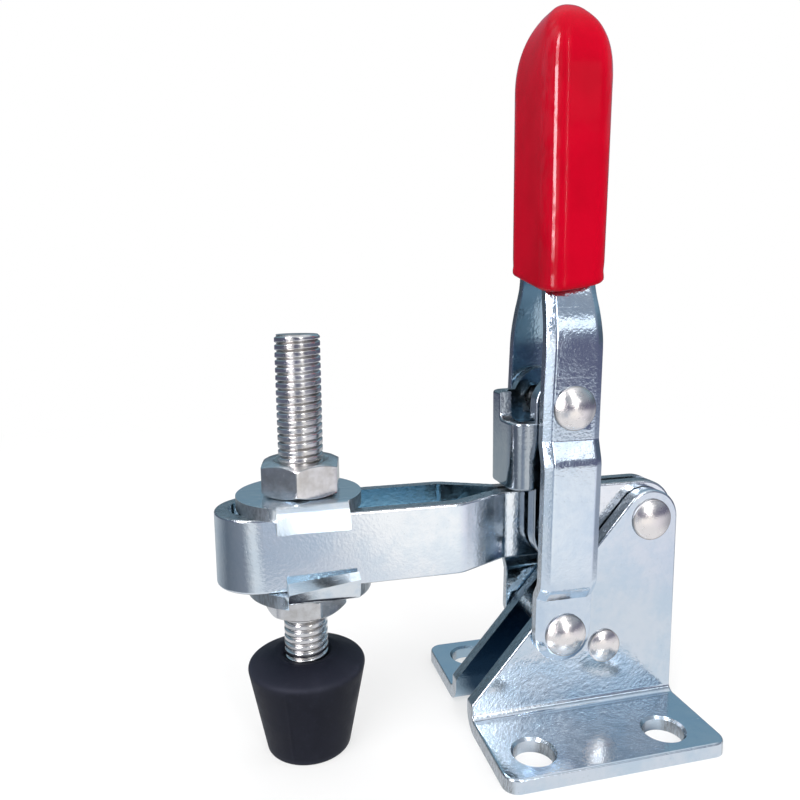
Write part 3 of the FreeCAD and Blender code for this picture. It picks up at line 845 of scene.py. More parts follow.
@dataclass
class RivetForge:
    """Domed rivets: one tree sets a head on each end of a shank.

    Attributes:
        columns: columns around a head.
        rim: height of the head's straight rim in millimetres.
        tree: the shared tree, once it is made.
    """

    columns: int = 64
    rim: float = 0.25
    tree: Optional[ShapeTree] = field(default=None, init=False)

    def head(self, radius: float, height: float) -> bpy.types.Mesh:
        """Mesh of one head that looks up +Z, its seat at nought.

        Args:
            radius: radius of the head.
            height: height of the whole head.

        Returns:
            The mesh, with the distance from the axis as a value.
        """
        dome = height - self.rim
        ball = (radius * radius + dome * dome) / (2 * dome)
        tilt = math.degrees(math.asin(min(radius / ball, 1.0)))
        crown = arc((0.0, height - ball), ball, 90 - tilt, 90, 18)
        profile = [(0.0, 0.0), (radius * 0.5, 0.0), (radius - 0.12, 0.0), (radius, 0.1)]
        profile += [(radius, self.rim - 0.04), (radius - 0.03, self.rim + 0.05)] + crown[1:]
        shell = Shell("head_source", "radial")
        shell.lathe(profile, (0.0, 0.0), self.columns, lambda reach, _: reach / radius)
        piece = shell.piece(Surface.RIVET, 40.0)
        data = piece.data
        bpy.data.objects.remove(piece)
        return data

    def plant(self) -> ShapeTree:
        """The shared tree, made at its first use.

        Returns:
            A tree that takes one head as its geometry.
        """
        if self.tree:
            return self.tree
        tree = self.tree = ShapeTree("closed_rivet", {
            "Centre": (0.0, 0.0, 0.0), "Seat": 0.005, "Shank radius": 0.002,
            "Collar radius": 0.002, "Collar half length": 0.001,
            "Material": Surface.RIVET.material(),
        })
        seat = tree.take("Seat")
        ends = tree.add(
            "GeometryNodeMeshLine",
            {"Count": 2, "Start Location": tree.point(Y=-seat), "Offset": tree.point(Y=seat)},
            mode="END_POINTS",
        )
        side = tree.axes(tree.add("GeometryNodeInputPosition"))[1]
        turn = side.above(0.0) * math.pi + math.pi / 2
        parts = [tree.add("GeometryNodeInstanceOnPoints", {
            "Points": ends, "Instance": tree.take("Geometry"), "Rotation": tree.point(X=turn),
        })]
        for radius, reach in (("Shank radius", "Seat"), ("Collar radius", "Collar half length")):
            away = tree.take(reach)
            line = {"Start": tree.point(Y=-away), "End": tree.point(Y=away)}
            section = {"Resolution": 48, "Radius": tree.take(radius)}
            parts.append(tree.add("GeometryNodeCurveToMesh", {
                "Curve": tree.add("GeometryNodeCurvePrimitiveLine", line),
                "Profile Curve": tree.add("GeometryNodeCurvePrimitiveCircle", section),
                "Fill Caps": True,
            }))
        joined = tree.add("GeometryNodeJoinGeometry")
        for part in reversed(parts):
            tree.plug(joined.node.inputs[0], part)
        values = {"Geometry": joined, "Translation": tree.take("Centre")}
        tree.close(tree.add("GeometryNodeTransform", values))
        return tree

    def close_rivet(
        self, node: str, body: str, seat: float, shank: float,
        collar: Optional[tuple[float, float]] = None,
    ) -> None:
        """Make one rivet in place of its CAD node.

        Args:
            node: name of the rivet's node.
            body: body that it rides on.
            seat: half distance between its seats.
            shank: radius of the shank.
            collar: radius and half length of a thicker middle.
        """
        low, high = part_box(node)
        radius = (high[0] - low[0]) / 2 / MM
        height = (high[1] - low[1]) / 2 / MM - seat
        thick, reach = collar or (shank, seat)
        piece = self.plant().bake(node + "_closed", self.head(radius, height), {
            "Centre": tuple((low[axis] + high[axis]) / 2 for axis in range(3)),
            "Seat": seat * MM, "Shank radius": shank * MM,
            "Collar radius": thick * MM, "Collar half length": reach * MM,
            "Material": Surface.RIVET.material(),
        })
        for polygon in piece.data.polygons:
            polygon.use_smooth = len(polygon.vertices) <= 4
        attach(piece, body)
        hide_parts(node)
        LOG.info("%s: %d faces", piece.name, len(piece.data.polygons))


@dataclass
class Mounting:
    """The two folded base plates and their three rivets.

    Attributes:
        forge: what makes the rivets.
        plates: names of the plates' nodes.
    """

    forge: RivetForge
    plates: tuple[str, str] = ("base_plate_near", "base_plate_far")

    def build(self) -> None:
        """Dress the plates and close the rivets."""
        for plate in self.plates:
            dress(plate, Surface.ZINC_SHEET)
        self.forge.close_rivet("handle_pivot_rivet", "base", 6.8, 2.0)
        self.forge.close_rivet("arm_pivot_rivet", "base", 4.57, 2.0)
        self.forge.close_rivet("spacer_rivet", "base", 4.57, 1.5, (2.5, 2.52))


@dataclass
class ClampArm:
    """The folded arm and the rivet that ties the link to it."""

    forge: RivetForge

    def build(self) -> None:
        """Dress the arm and close its rivet."""
        dress("clamp_arm", Surface.ZINC_ARM)
        self.forge.close_rivet("link_lower_rivet", "arm", 4.85, 2.0)


@dataclass
class ToggleLink:
    """The channel link between the arm and the handle."""

    def build(self) -> None:
        """Dress the link in the darker copy of the bright zinc, which is painted shade."""
        dress("toggle_link", Surface.ZINC_LINK_SHADED)


@dataclass(frozen=True)
class StrapPress:
    """Blanks and bends the handle's straps, whose outer edges its die rolls over.

    Attributes:
        pivot: place of the hole over the base, across and up.
        upper: place of the hole over the link.
        hole: radius of both holes.
        end_radius: radius of the foot's round end.
        widths: height, middle and half width up the blank.
        top: height of the blank's top.
        bends: distance from the middle plane, height and rounding of each bend.
        spacing: greatest height between the blank's points.
        sheet: thickness.
        roll_in: how far in the rolled edge begins.
        roll_down: how far the rolled edge drops.
        burr: bevel of the inner edge.
    """

    pivot: tuple[float, float] = (-2.25, 14.4)
    upper: tuple[float, float] = (-1.75, 47.1)
    hole: float = 2.03
    end_radius: float = 4.3
    widths: tuple[tuple[float, float, float], ...] = (
        (14.4, -2.25, 4.3), (47.1, -1.75, 4.3), (56.5, -1.48, 4.2), (60.0, -1.42, 4.0),
        (63.0, -1.4, 3.76), (66.0, -1.4, 3.7), (92.2, -1.4, 3.7),
    )
    top: float = 92.2
    bends: tuple[tuple[float, float, float], ...] = (
        (4.75, 9.0, 0.0), (4.75, 20.3, 1.6), (6.0, 22.3, 1.6), (6.0, 39.3, 2.6),
        (5.0, 42.3, 2.6), (5.0, 57.4, 17.0), (2.8, 63.6, 17.0), (2.8, 93.0, 0.0),
    )
    spacing: float = 1.2
    sheet: float = 2.0
    roll_in: float = 1.15
    roll_down: float = 0.68
    burr: float = 0.12

    def strap(self, name: str, side: int) -> None:
        """Make one strap and put it in the place of its CAD node.

        Args:
            name: which strap.
            side: which side of the middle plane, -1 near or 1 far.
        """
        shell = Shell(f"handle_strap_{name}_pressed")
        path = soften(self.bends, 10)
        edge = [(self.burr, 0.0)] + soften(
            (
                (0.0, self.burr, 0.0), (0.0, self.sheet - self.roll_down, 0.15),
                (self.roll_in, self.sheet, 0.8), (self.roll_in + 0.5, self.sheet, 0.0),
            ),
            6,
        )
        rings = [
            shell.ring(self._bent(point, off, path, side) for point in self._blank(inward))
            for inward, off in edge
        ]
        shell.bridge(rings)
        shell.ladder(rings[0])
        shell.ladder(rings[-1])
        piece = shell.piece(Surface.ZINC_STRAP, 40.0)
        for place in (self.pivot, self.upper):
            drill(piece, place, self.hole)
        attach(piece, "handle")
        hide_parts(f"handle_strap_{name}")
        LOG.info("%s: %d faces", piece.name, len(piece.data.polygons))

    def _blank(self, inward: float) -> Profile:
        """Outline of the flat blank, down the front side, round the foot and up the rear side.

        Args:
            inward: how far inside the blank's edge the outline runs.

        Returns:
            Points across and up.
        """
        front, rear = [], []
        for height in sorted({round(height, 3) for height in self._stations()}, reverse=True):
            _, middle, half = between(self.widths, 0, height)
            front.append((middle - half + inward, height))
            rear.append((middle + half - inward, height))
        foot = arc(self.pivot, self.end_radius - inward, 180, 360, 32)[1:-1]
        return front + foot + rear[::-1]

    def _stations(self) -> list[float]:
        """Heights at which the blank has points, close together at its bends.

        Returns:
            The heights, from the foot's hole up.
        """
        low, top = self.pivot[1], self.top
        bent = [height for _, height in soften(self.bends, 10) if low < height < top]
        marks = sorted([low, top, *bent])
        filled = []
        for start, end in zip(marks, marks[1:]):
            count = max(1, round((end - start) / self.spacing))
            filled += [start + (end - start) * step / count for step in range(count + 1)]
        return filled

    def _bent(
        self, point: tuple[float, float], off: float, path: Profile, side: int
    ) -> tuple[float, float, float]:
        """Place of a blank's point once the blank is bent.

        Args:
            point: place across and up the blank.
            off: distance out from the inner face.
            path: the inner face's line.
            side: which side of the middle plane.

        Returns:
            The place.
        """
        across, up = point
        below, out, above = (between(path, 1, up + step)[0] for step in (-0.15, 0.0, 0.15))
        slope = (above - below) / 0.3
        long = math.hypot(1.0, slope)
        return across, side * (out + off / long), up - off * slope / long


@dataclass
class HandleLever:
    """The two straps, their rivet and the dipped grip.

    Attributes:
        forge: what makes the rivet.
        press: what makes the straps.
        centre_x: the grip's middle at its lip.
        half_x: half width of the grip at its lip.
        flare: growth of the half width, and shift of the middle, to the dome.
        half_y: half depth of the grip.
        corner: radius of its corners.
        dome: height of the dome.
        lip_rise_y: rise of the lip from its near to its far side.
        lip_rise_x: rise of the lip from its front to its rear side.
        lip_fade: height over which that rise fades out.
        wall_x: half width of the mouth.
        wall_y: half depth of the mouth.
        mouth_depth: depth of the mouth.
        lip_top: height at which the lip has ended.
        sag: how far the broad faces sink between the straps.
    """

    forge: RivetForge
    press: StrapPress
    centre_x: float = -1.4
    half_x: float = 4.65
    flare: float = 0.25
    half_y: float = 6.9
    corner: float = 2.7
    dome: float = 10.5
    lip_rise_y: float = 3.4
    lip_rise_x: float = 1.5
    lip_fade: float = 16.0
    wall_x: float = 3.74
    wall_y: float = 5.5
    mouth_depth: float = 12.0
    lip_top: float = 1.6
    sag: float = 0.12

    def build(self) -> None:
        """Press the straps, close the rivet and make the grip."""
        self.press.strap("near", -1)
        self.press.strap("far", 1)
        self.forge.close_rivet("link_upper_rivet", "handle", 7.0, 2.0)
        self._grip()

    def _section(self, x: float, half_x: float, half_y: float, corner: float) -> list[Vector]:
        """Rounded rectangle, with as many points at every height.

        Args:
            x: its middle.
            half_x: half width.
            half_y: half depth.
            corner: radius of its corners.

        Returns:
            The points, at height nought.
        """
        arc_steps, flat_steps = 8, 10
        rounded = []
        for quarter, (side_x, side_y) in enumerate(((1, 1), (-1, 1), (-1, -1), (1, -1))):
            centre = (x + side_x * (half_x - corner), side_y * (half_y - corner))
            turn = arc(centre, corner, 90 * quarter, 90 * quarter + 90, arc_steps)
            rounded.append([Vector((*point, 0)) for point in turn])
        points = []
        for turn, after in zip(rounded, rounded[1:] + rounded[:1]):
            flat = [turn[-1].lerp(after[0], step / flat_steps) for step in range(1, flat_steps)]
            points += turn + flat
        return points

    def _lifted(self, point: Vector, height: float, bottom: float) -> tuple[float, float, float]:
        """Place of a section's point on the grip with its slanted lip.

        Args:
            point: the section's point.
            height: height of the section.
            bottom: height of the lip's lowest point.

        Returns:
            The place.
        """
        share_y = min(max((point.y / self.half_y + 1) / 2, 0.0), 1.0)
        share_x = min(max(((point.x - self.centre_x) / self.half_x + 1) / 2, 0.0), 1.0)
        fade = max(1 - max(height - bottom, 0.0) / self.lip_fade, 0.0)
        rise = (self.lip_rise_y * share_y + self.lip_rise_x * share_x) * fade
        return point.x, point.y, height + rise

    def _grip(self) -> None:
        """Make the grip ring by ring, from its mouth over the lip to its apex."""
        low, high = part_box("handle_grip")
        bottom, top = low[2] / MM, high[2] / MM
        shoulder = top - self.dome
        shell = Shell("handle_grip_dipped", "lip")
        rings = []

        def lay(points: list[Vector], height: float, level: float = 0.0) -> None:
            """Put one ring at a height."""
            places = [self._lifted(point, height, bottom) for point in points]
            rings.append(shell.ring(places, level))

        x, wall, outer = self.centre_x, (self.wall_x, self.wall_y), (self.half_x, self.half_y)
        # The mouth's wall, then the lip from its inside to its outside
        for (half_x, half_y), grow, corner, height, level in (
            (wall, 0.0, 0.4, self.mouth_depth, 1.0), (wall, 0.0, 0.4, 6.0, 1.0),
            (wall, 0.0, 0.4, 0.5, 1.0), (wall, 0.12, 0.52, 0.16, 1.0), (wall, 0.4, 0.8, 0.0, 1.0),
            (outer, -0.35, self.corner, 0.0, 1.0), (outer, -0.12, self.corner, 0.12, 1.0),
            (outer, 0.0, self.corner, 0.36, 0.9), (outer, 0.02, self.corner, 0.7, 0.5),
            (outer, 0.0, self.corner, 1.1, 0.15), (outer, -0.04, self.corner, self.lip_top, 0.0),
        ):
            section = self._section(x, half_x + grow, half_y + grow, corner)
            lay(section, bottom + height, level)
        straight, spans = shoulder - bottom, 18
        for step in range(1, spans + 1):
            height = self.lip_top + (straight - self.lip_top) * step / spans
            share = height / straight
            middle, half_x = x + self.flare * share, self.half_x + self.flare * share
            points = self._section(middle, half_x, self.half_y, self.corner)
            depth = self.sag * math.sin(math.pi * min(share * 1.05, 1.0)) ** 0.5
            for point in points:
                across = max(1 - (point.y / (self.half_y - self.corner)) ** 2, 0.0)
                point.x -= math.copysign(depth * across, point.x - middle)
            lay(points, bottom + height)
        middle, spans = x + self.flare, 31
        for step in range(1, spans):
            rounded = math.sin(math.pi / 2 * step / spans)
            share = (1 - rounded ** 2.4) ** 0.52
            half_x = (self.half_x + self.flare) * share
            corner = min(self.corner * (0.4 + 0.6 * share) + 1.2 * (1 - share), 0.9 * half_x)
            section = self._section(middle, half_x, self.half_y * share, corner)
            lay(section, shoulder + self.dome * rounded)
        shell.bridge(rings)
        shell.cap(rings[0], (x, 0.0, bottom + self.mouth_depth), 1.0)
        shell.cap(rings[-1], (middle, 0.0, top - 0.005))
        piece = shell.piece(Surface.VINYL, 60.0)
        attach(piece, "handle")
        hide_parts("handle_grip")
        LOG.info("%s: %d faces", piece.name, len(piece.data.polygons))


@dataclass(frozen=True)
class WasherPress:
    """Splays the washers' tabs off the arm, as their die leaves them.

    Attributes:
        seats: height of each washer's seat on the arm, and 1 or -1 for its own way up.
        angles: bend of each washer's tabs at their front and rear end, in degrees.
        fronts: X of the front end of each washer's tabs.
        tab_long: length of a tab along the arm.
        bend_y: distance from the middle plane at which a tab starts to bend.
        inner_radius: radius inside the bend.
        sheet: thickness.
    """

    seats: tuple[tuple[float, int], ...] = ((34.8, 1), (24.9, -1))
    angles: tuple[tuple[float, float], ...] = ((70.0, 70.0), (52.0, 74.0))
    fronts: tuple[float, float] = (-42.2, -41.05)
    tab_long: float = 9.2
    bend_y: float = 5.77
    inner_radius: float = 0.4
    sheet: float = 1.7

    def splay(self, index: int, node: str) -> None:
        """Make a washer with splayed tabs from its CAD node and put it in its place.

        Args:
            index: which washer, from the top.
            node: name of the node.
        """
        shell = Shell(f"{node}_splayed")
        shell.mesh.from_mesh(FRAME["nodes"][node].data)
        bmesh.ops.remove_doubles(shell.mesh, verts=shell.mesh.verts[:], dist=0.002 * MM)
        seat, way = self.seats[index]
        moved = 0
        for vertex in shell.mesh.verts:
            x, y, z = (value / MM for value in vertex.co)
            place = self._opened(x, abs(y) - self.bend_y, (z - seat) * way, index)
            if place is not None:
                new_y = math.copysign(self.bend_y + place[0], y)
                vertex.co = Vector((x, new_y, seat + way * place[1])) * MM
                moved += 1
        piece = shell.piece(Surface.ZINC_WASHER, 40.0)
        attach(piece, "spindle_clamp")
        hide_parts(node)
        LOG.info("%s: %d points splayed", piece.name, moved)

    def _opened(
        self, x: float, out: float, up: float, index: int
    ) -> Optional[tuple[float, float]]:
        """Where a tab's point goes when the tab opens.

        Args:
            x: its place along the arm.
            out: its distance past the start of the bend.
            up: its height over the washer's seat.
            index: which washer.

        Returns:
            New distance and height, or None for a point of the flat disc.
        """
        along = (x - self.fronts[index]) / self.tab_long
        if not -0.01 < along < 1.01 or out < 0.001:
            return None
        first, last = self.angles[index]
        share = (first + (last - first) * along) / 90
        centre = -self.inner_radius
        if up > centre:
            radius, angle = math.hypot(out, up - centre), math.atan2(out, up - centre)
            faces = (self.inner_radius, self.inner_radius + self.sheet)
            if min(abs(radius - face) for face in faces) > 0.03:
                return None
            past = 0.0
        else:
            radius, angle, past = out, math.pi / 2, centre - up
        turned = angle * share
        return (
            radius * math.sin(turned) + past * math.cos(turned),
            centre + radius * math.cos(turned) - past * math.sin(turned),
        )


@dataclass
class SpindleSet:
    """Washers, nuts, threaded spindle and rubber tip.

    Attributes:
        washers: what opens the washers' tabs.
        pitch: pitch of the thread.
        thread_depth: depth of the thread.
        end_chamfer: chamfer of the spindle's ends.
        columns: columns around the thread.
        rows_per_pitch: rows along one turn of the thread.
        flats: width of a nut across its flats.
        inset: how far a nut's chamfer starts inside its flats.
        broken: rounding of a nut's edges.
        bore: radius of a nut's bore.
        nut_steps: points around a nut.
        nut_turns: turn of each nut in degrees.
        tip_corners: radius, height and rounding of each corner of the tip's section.
        line_turn: where the tip's mould line runs, in degrees.
        line_rise: its height.
        line_width: its half width.
    """

    washers: WasherPress
    pitch: float = 1.0
    thread_depth: float = 0.3
    end_chamfer: float = 0.3
    columns: int = 60
    rows_per_pitch: int = 14
    flats: float = 10.0
    inset: float = 0.25
    broken: float = 0.07
    bore: float = 3.04
    nut_steps: int = 144
    nut_turns: dict[str, float] = field(
        default_factory=lambda: {"nut_upper": 19.0, "nut_lower": 44.5}
    )
    tip_corners: tuple[tuple[float, float, float], ...] = (
        (0.0, 0.25, 0.0), (4.6, 0.25, 0.3), (5.0, 0.0, 0.15), (5.8, 0.0, 0.45),
        (8.2, 12.2, 0.75), (7.4, 12.5, 0.5), (4.6, 13.62, 0.3), (4.2, 13.7, 0.2),
        (3.55, 13.62, 0.15), (3.1, 13.3, 0.1), (3.02, 12.0, 0.0), (0.0, 12.0, 0.0),
    )
    line_turn: float = 64.0
    line_rise: float = 0.07
    line_width: float = 0.16

    def build(self) -> None:
        """Splay the washers and make the nuts, the spindle and the tip."""
        for index, node in enumerate(("washer_upper", "washer_lower")):
            self.washers.splay(index, node)
        for node, turn in self.nut_turns.items():
            self._nut(node, turn)
        self._spindle()
        self._tip()

    def _nut(self, node: str, turn: float) -> None:
        """Make one nut with its chamfers and its countersunk bore.

        Args:
            node: name of the nut's node.
            turn: turn of its first flat in degrees.
        """
        low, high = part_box(node)
        centre = ((low[0] + high[0]) / 2 / MM, (low[1] + high[1]) / 2 / MM)
        apothem, face = self.flats / 2, self.flats / 2 - self.inset
        edge, bore, slope = self.broken, self.bore, math.tan(math.radians(30))
        shell = Shell(node + "_cut", "groove")
        rings: list[list[Any]] = []

        def hexagon(angle: float) -> float:
            """Distance to the hexagon's side, with its corners just broken."""
            away = math.radians((angle % 60) - 30)
            return min(apothem / math.cos(away), apothem / math.cos(math.radians(30)) - 0.06)

        def drop(angle: float) -> float:
            """How far the chamfer has come down at the hexagon's side."""
            return (hexagon(angle) - face) * slope

        # Radius and depth at an angle, and the level of painted shade, from the bore out to the
        # flats
        rows: tuple[tuple[Callable, Callable, float], ...] = (
            (lambda a: bore, lambda a: 0.75, 1.0),
            (lambda a: bore + 0.62, lambda a: 0.06, 0.6),
            (lambda a: bore + 0.72, lambda a: 0.0, 0.1),
            (lambda a: face - edge, lambda a: 0.0, 0.0),
            (lambda a: face, lambda a: 0.02, 0.0),
            (lambda a: hexagon(a) - edge * 0.6, lambda a: drop(a) - 0.02, 0.0),
            (hexagon, lambda a: drop(a) + edge, 0.0),
        )
        angles = [360 * step / self.nut_steps for step in range(self.nut_steps)]
        for end, way, order in ((low[2] / MM, 1, rows), (high[2] / MM, -1, rows[::-1])):
            for radius, depth, level in order:
                points = [
                    around(centre, radius(a), math.radians(a + turn), end + way * depth(a))
                    for a in angles
                ]
                rings.append(shell.ring(points, level))
        shell.bridge(rings + rings[:1])
        piece = shell.piece(Surface.STEEL, 24.0)
        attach(piece, "spindle_clamp")
        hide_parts(node)
        LOG.info("%s: %d faces", piece.name, len(piece.data.polygons))

    def _thread_tree(self) -> ShapeTree:
        """Tree that rolls a grid into a rod with a helical thread.

        Returns:
            The tree, with its sizes as named inputs in metres.
        """
        tree = ShapeTree("rolled_thread", {
            "Centre": (0.0, 0.0, 0.0), "Length": 0.05, "Radius": 0.003, "Pitch": 0.001,
            "Depth": 0.0006, "Chamfer": 0.0006, "Columns": 60, "Rows": 700,
            "Material": Surface.STEEL.material(),
        })
        grid = tree.add("GeometryNodeMeshGrid", {
            "Size X": 1.0, "Size Y": 1.0,
            "Vertices X": tree.take("Columns"), "Vertices Y": tree.take("Rows"),
        })
        x, y, _ = tree.axes(tree.add("GeometryNodeInputPosition"))
        turned = (x + 0.5) * (2 * math.pi)
        along = y + 0.5
        # The first and last rows close the rod on its axis
        row = 1 / (tree.take("Rows") - 1.0)
        share = ((along - row) / (1 - 2 * row)).high(0.0).low(1.0)
        height = share * tree.take("Length")
        phase = (height / tree.take("Pitch") - turned / (2 * math.pi) + 100.0).fraction()
        groove = 1 - ((phase - 0.5).size() * 2.0).spread(0.02, 0.5)
        from_end = height.low(tree.take("Length") - height)
        chamfer = tree.take("Radius") - tree.take("Chamfer") + from_end
        radius = (tree.take("Radius") - groove * tree.take("Depth")).low(chamfer)
        inside = (along - row * 0.5).above(0.0) * (1 - row * 0.5 - along).above(0.0)
        reach = radius * inside
        spot = tree.point(X=reach * turned.cosine(), Y=reach * turned.sine(), Z=height)
        # The groove level also sets the painted shade in the steel's finish
        marked = tree.add(
            "GeometryNodeStoreNamedAttribute",
            {"Geometry": grid, "Name": "groove", "Value": groove},
            data_type="FLOAT", domain="POINT",
        )
        rolled = tree.add("GeometryNodeSetPosition", {
            "Geometry": marked, "Position": tree.vector("ADD", spot, tree.take("Centre")),
        })
        values = {"Geometry": rolled, "Distance": 0.000002}
        merged = tree.add("GeometryNodeMergeByDistance", values)
        tree.close(tree.add("GeometryNodeSetShadeSmooth", {"Geometry": merged}))
        return tree

    def _spindle(self) -> None:
        """Make the threaded spindle."""
        low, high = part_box("spindle")
        length = high[2] - low[2]
        seed = bpy.data.meshes.new("thread_source")
        piece = self._thread_tree().bake("spindle_threaded", seed, {
            "Centre": ((low[0] + high[0]) / 2, (low[1] + high[1]) / 2, low[2]),
            "Length": length, "Radius": (high[0] - low[0]) / 2, "Pitch": self.pitch * MM,
            "Depth": self.thread_depth * MM, "Chamfer": self.end_chamfer * MM,
            "Columns": self.columns + 1,
            "Rows": int(length / MM / self.pitch * self.rows_per_pitch),
            "Material": Surface.STEEL.material(),
        })
        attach(piece, "spindle")
        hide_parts("spindle")
        LOG.info("%s: %d faces", piece.name, len(piece.data.polygons))

    def _tip(self) -> None:
        """Make the rubber tip with its mould line and the painted highlight along its edges."""
        low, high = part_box("rubber_tip")
        centre = ((low[0] + high[0]) / 2 / MM, (low[1] + high[1]) / 2 / MM)
        bottom = low[2] / MM
        corners = [(radius, bottom + height, bend) for radius, height, bend in self.tip_corners]
        profile = soften(corners, 6)
        # The long side gets points between its ends, for the mould line
        full: Profile = []
        for point, after in zip(profile, profile[1:] + profile[-1:]):
            spans = 16 if abs(after[1] - point[1]) > 6 else 1
            for step in range(spans):
                share = step / spans
                full.append(tuple(a + (b - a) * share for a, b in zip(point, after)))

        def edge_sheen(radius: float, height: float) -> float:
            """How much painted highlight a point of the tip's edges gets."""
            shoulder = math.exp(-((height - bottom - 12.2) / 0.5) ** 2) * (radius > 7)
            foot = math.exp(-((height - bottom) / 0.5) ** 2) * (radius > 5)
            return min(shoulder + foot, 1.0)

        def mould_line(angle: float, radius: float, height: float) -> float:
            """Thin raised line where the mould's halves met."""
            if radius < 5.5 or not bottom + 0.5 < height < bottom + 11.6:
                return 0.0
            away = math.remainder(angle - math.radians(self.line_turn), math.pi)
            return self.line_rise * math.exp(-((away * radius) / self.line_width) ** 2)

        # The edge level marks where the rubber's finish paints its highlight
        shell = Shell("rubber_tip_moulded", "edge")
        shell.lathe(full, centre, 240, edge_sheen, mould_line)
        piece = shell.piece(Surface.RUBBER, 50.0)
        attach(piece, "spindle")
        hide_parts("rubber_tip")
        LOG.info("%s: %d faces", piece.name, len(piece.data.polygons))


# Studio


def outward(azimuth: float, elevation: float) -> Vector:
    """Unit direction from the object, by degrees right of the front and over the floor."""
    side, up = math.radians(azimuth), math.radians(elevation)
    return Vector((math.sin(side) * math.cos(up), -math.cos(side) * math.cos(up), math.sin(up)))


@dataclass(frozen=True)
class SoftBox:
    """A rectangular studio lamp.

    Attributes:
        name: its name.
        azimuth: degrees around from the front, to the right.
        elevation: degrees above the floor.
        away: distance from the object in metres.
        width: width in metres.
        height: height in metres.
        power: power in watts.
        mirrored: whether the metal mirrors it.
    """

    name: str
    azimuth: float
    elevation: float
    away: float
    width: float
    height: float
    power: float
    mirrored: bool = False

    def hang(self, aim: Vector) -> None:
        """Put the lamp in the scene.

        Args:
            aim: point that it looks at.
        """
        data = bpy.data.lights.new(self.name, "AREA")
        data.shape = "RECTANGLE"
        data.size, data.size_y = self.width, self.height
        data.energy = self.power
        lamp = show(self.name, data)
        out = outward(self.azimuth, self.elevation)
        lamp.location = aim + out * self.away
        lamp.rotation_euler = out.to_track_quat("Z", "Y").to_euler()
        lamp.visible_glossy = self.mirrored


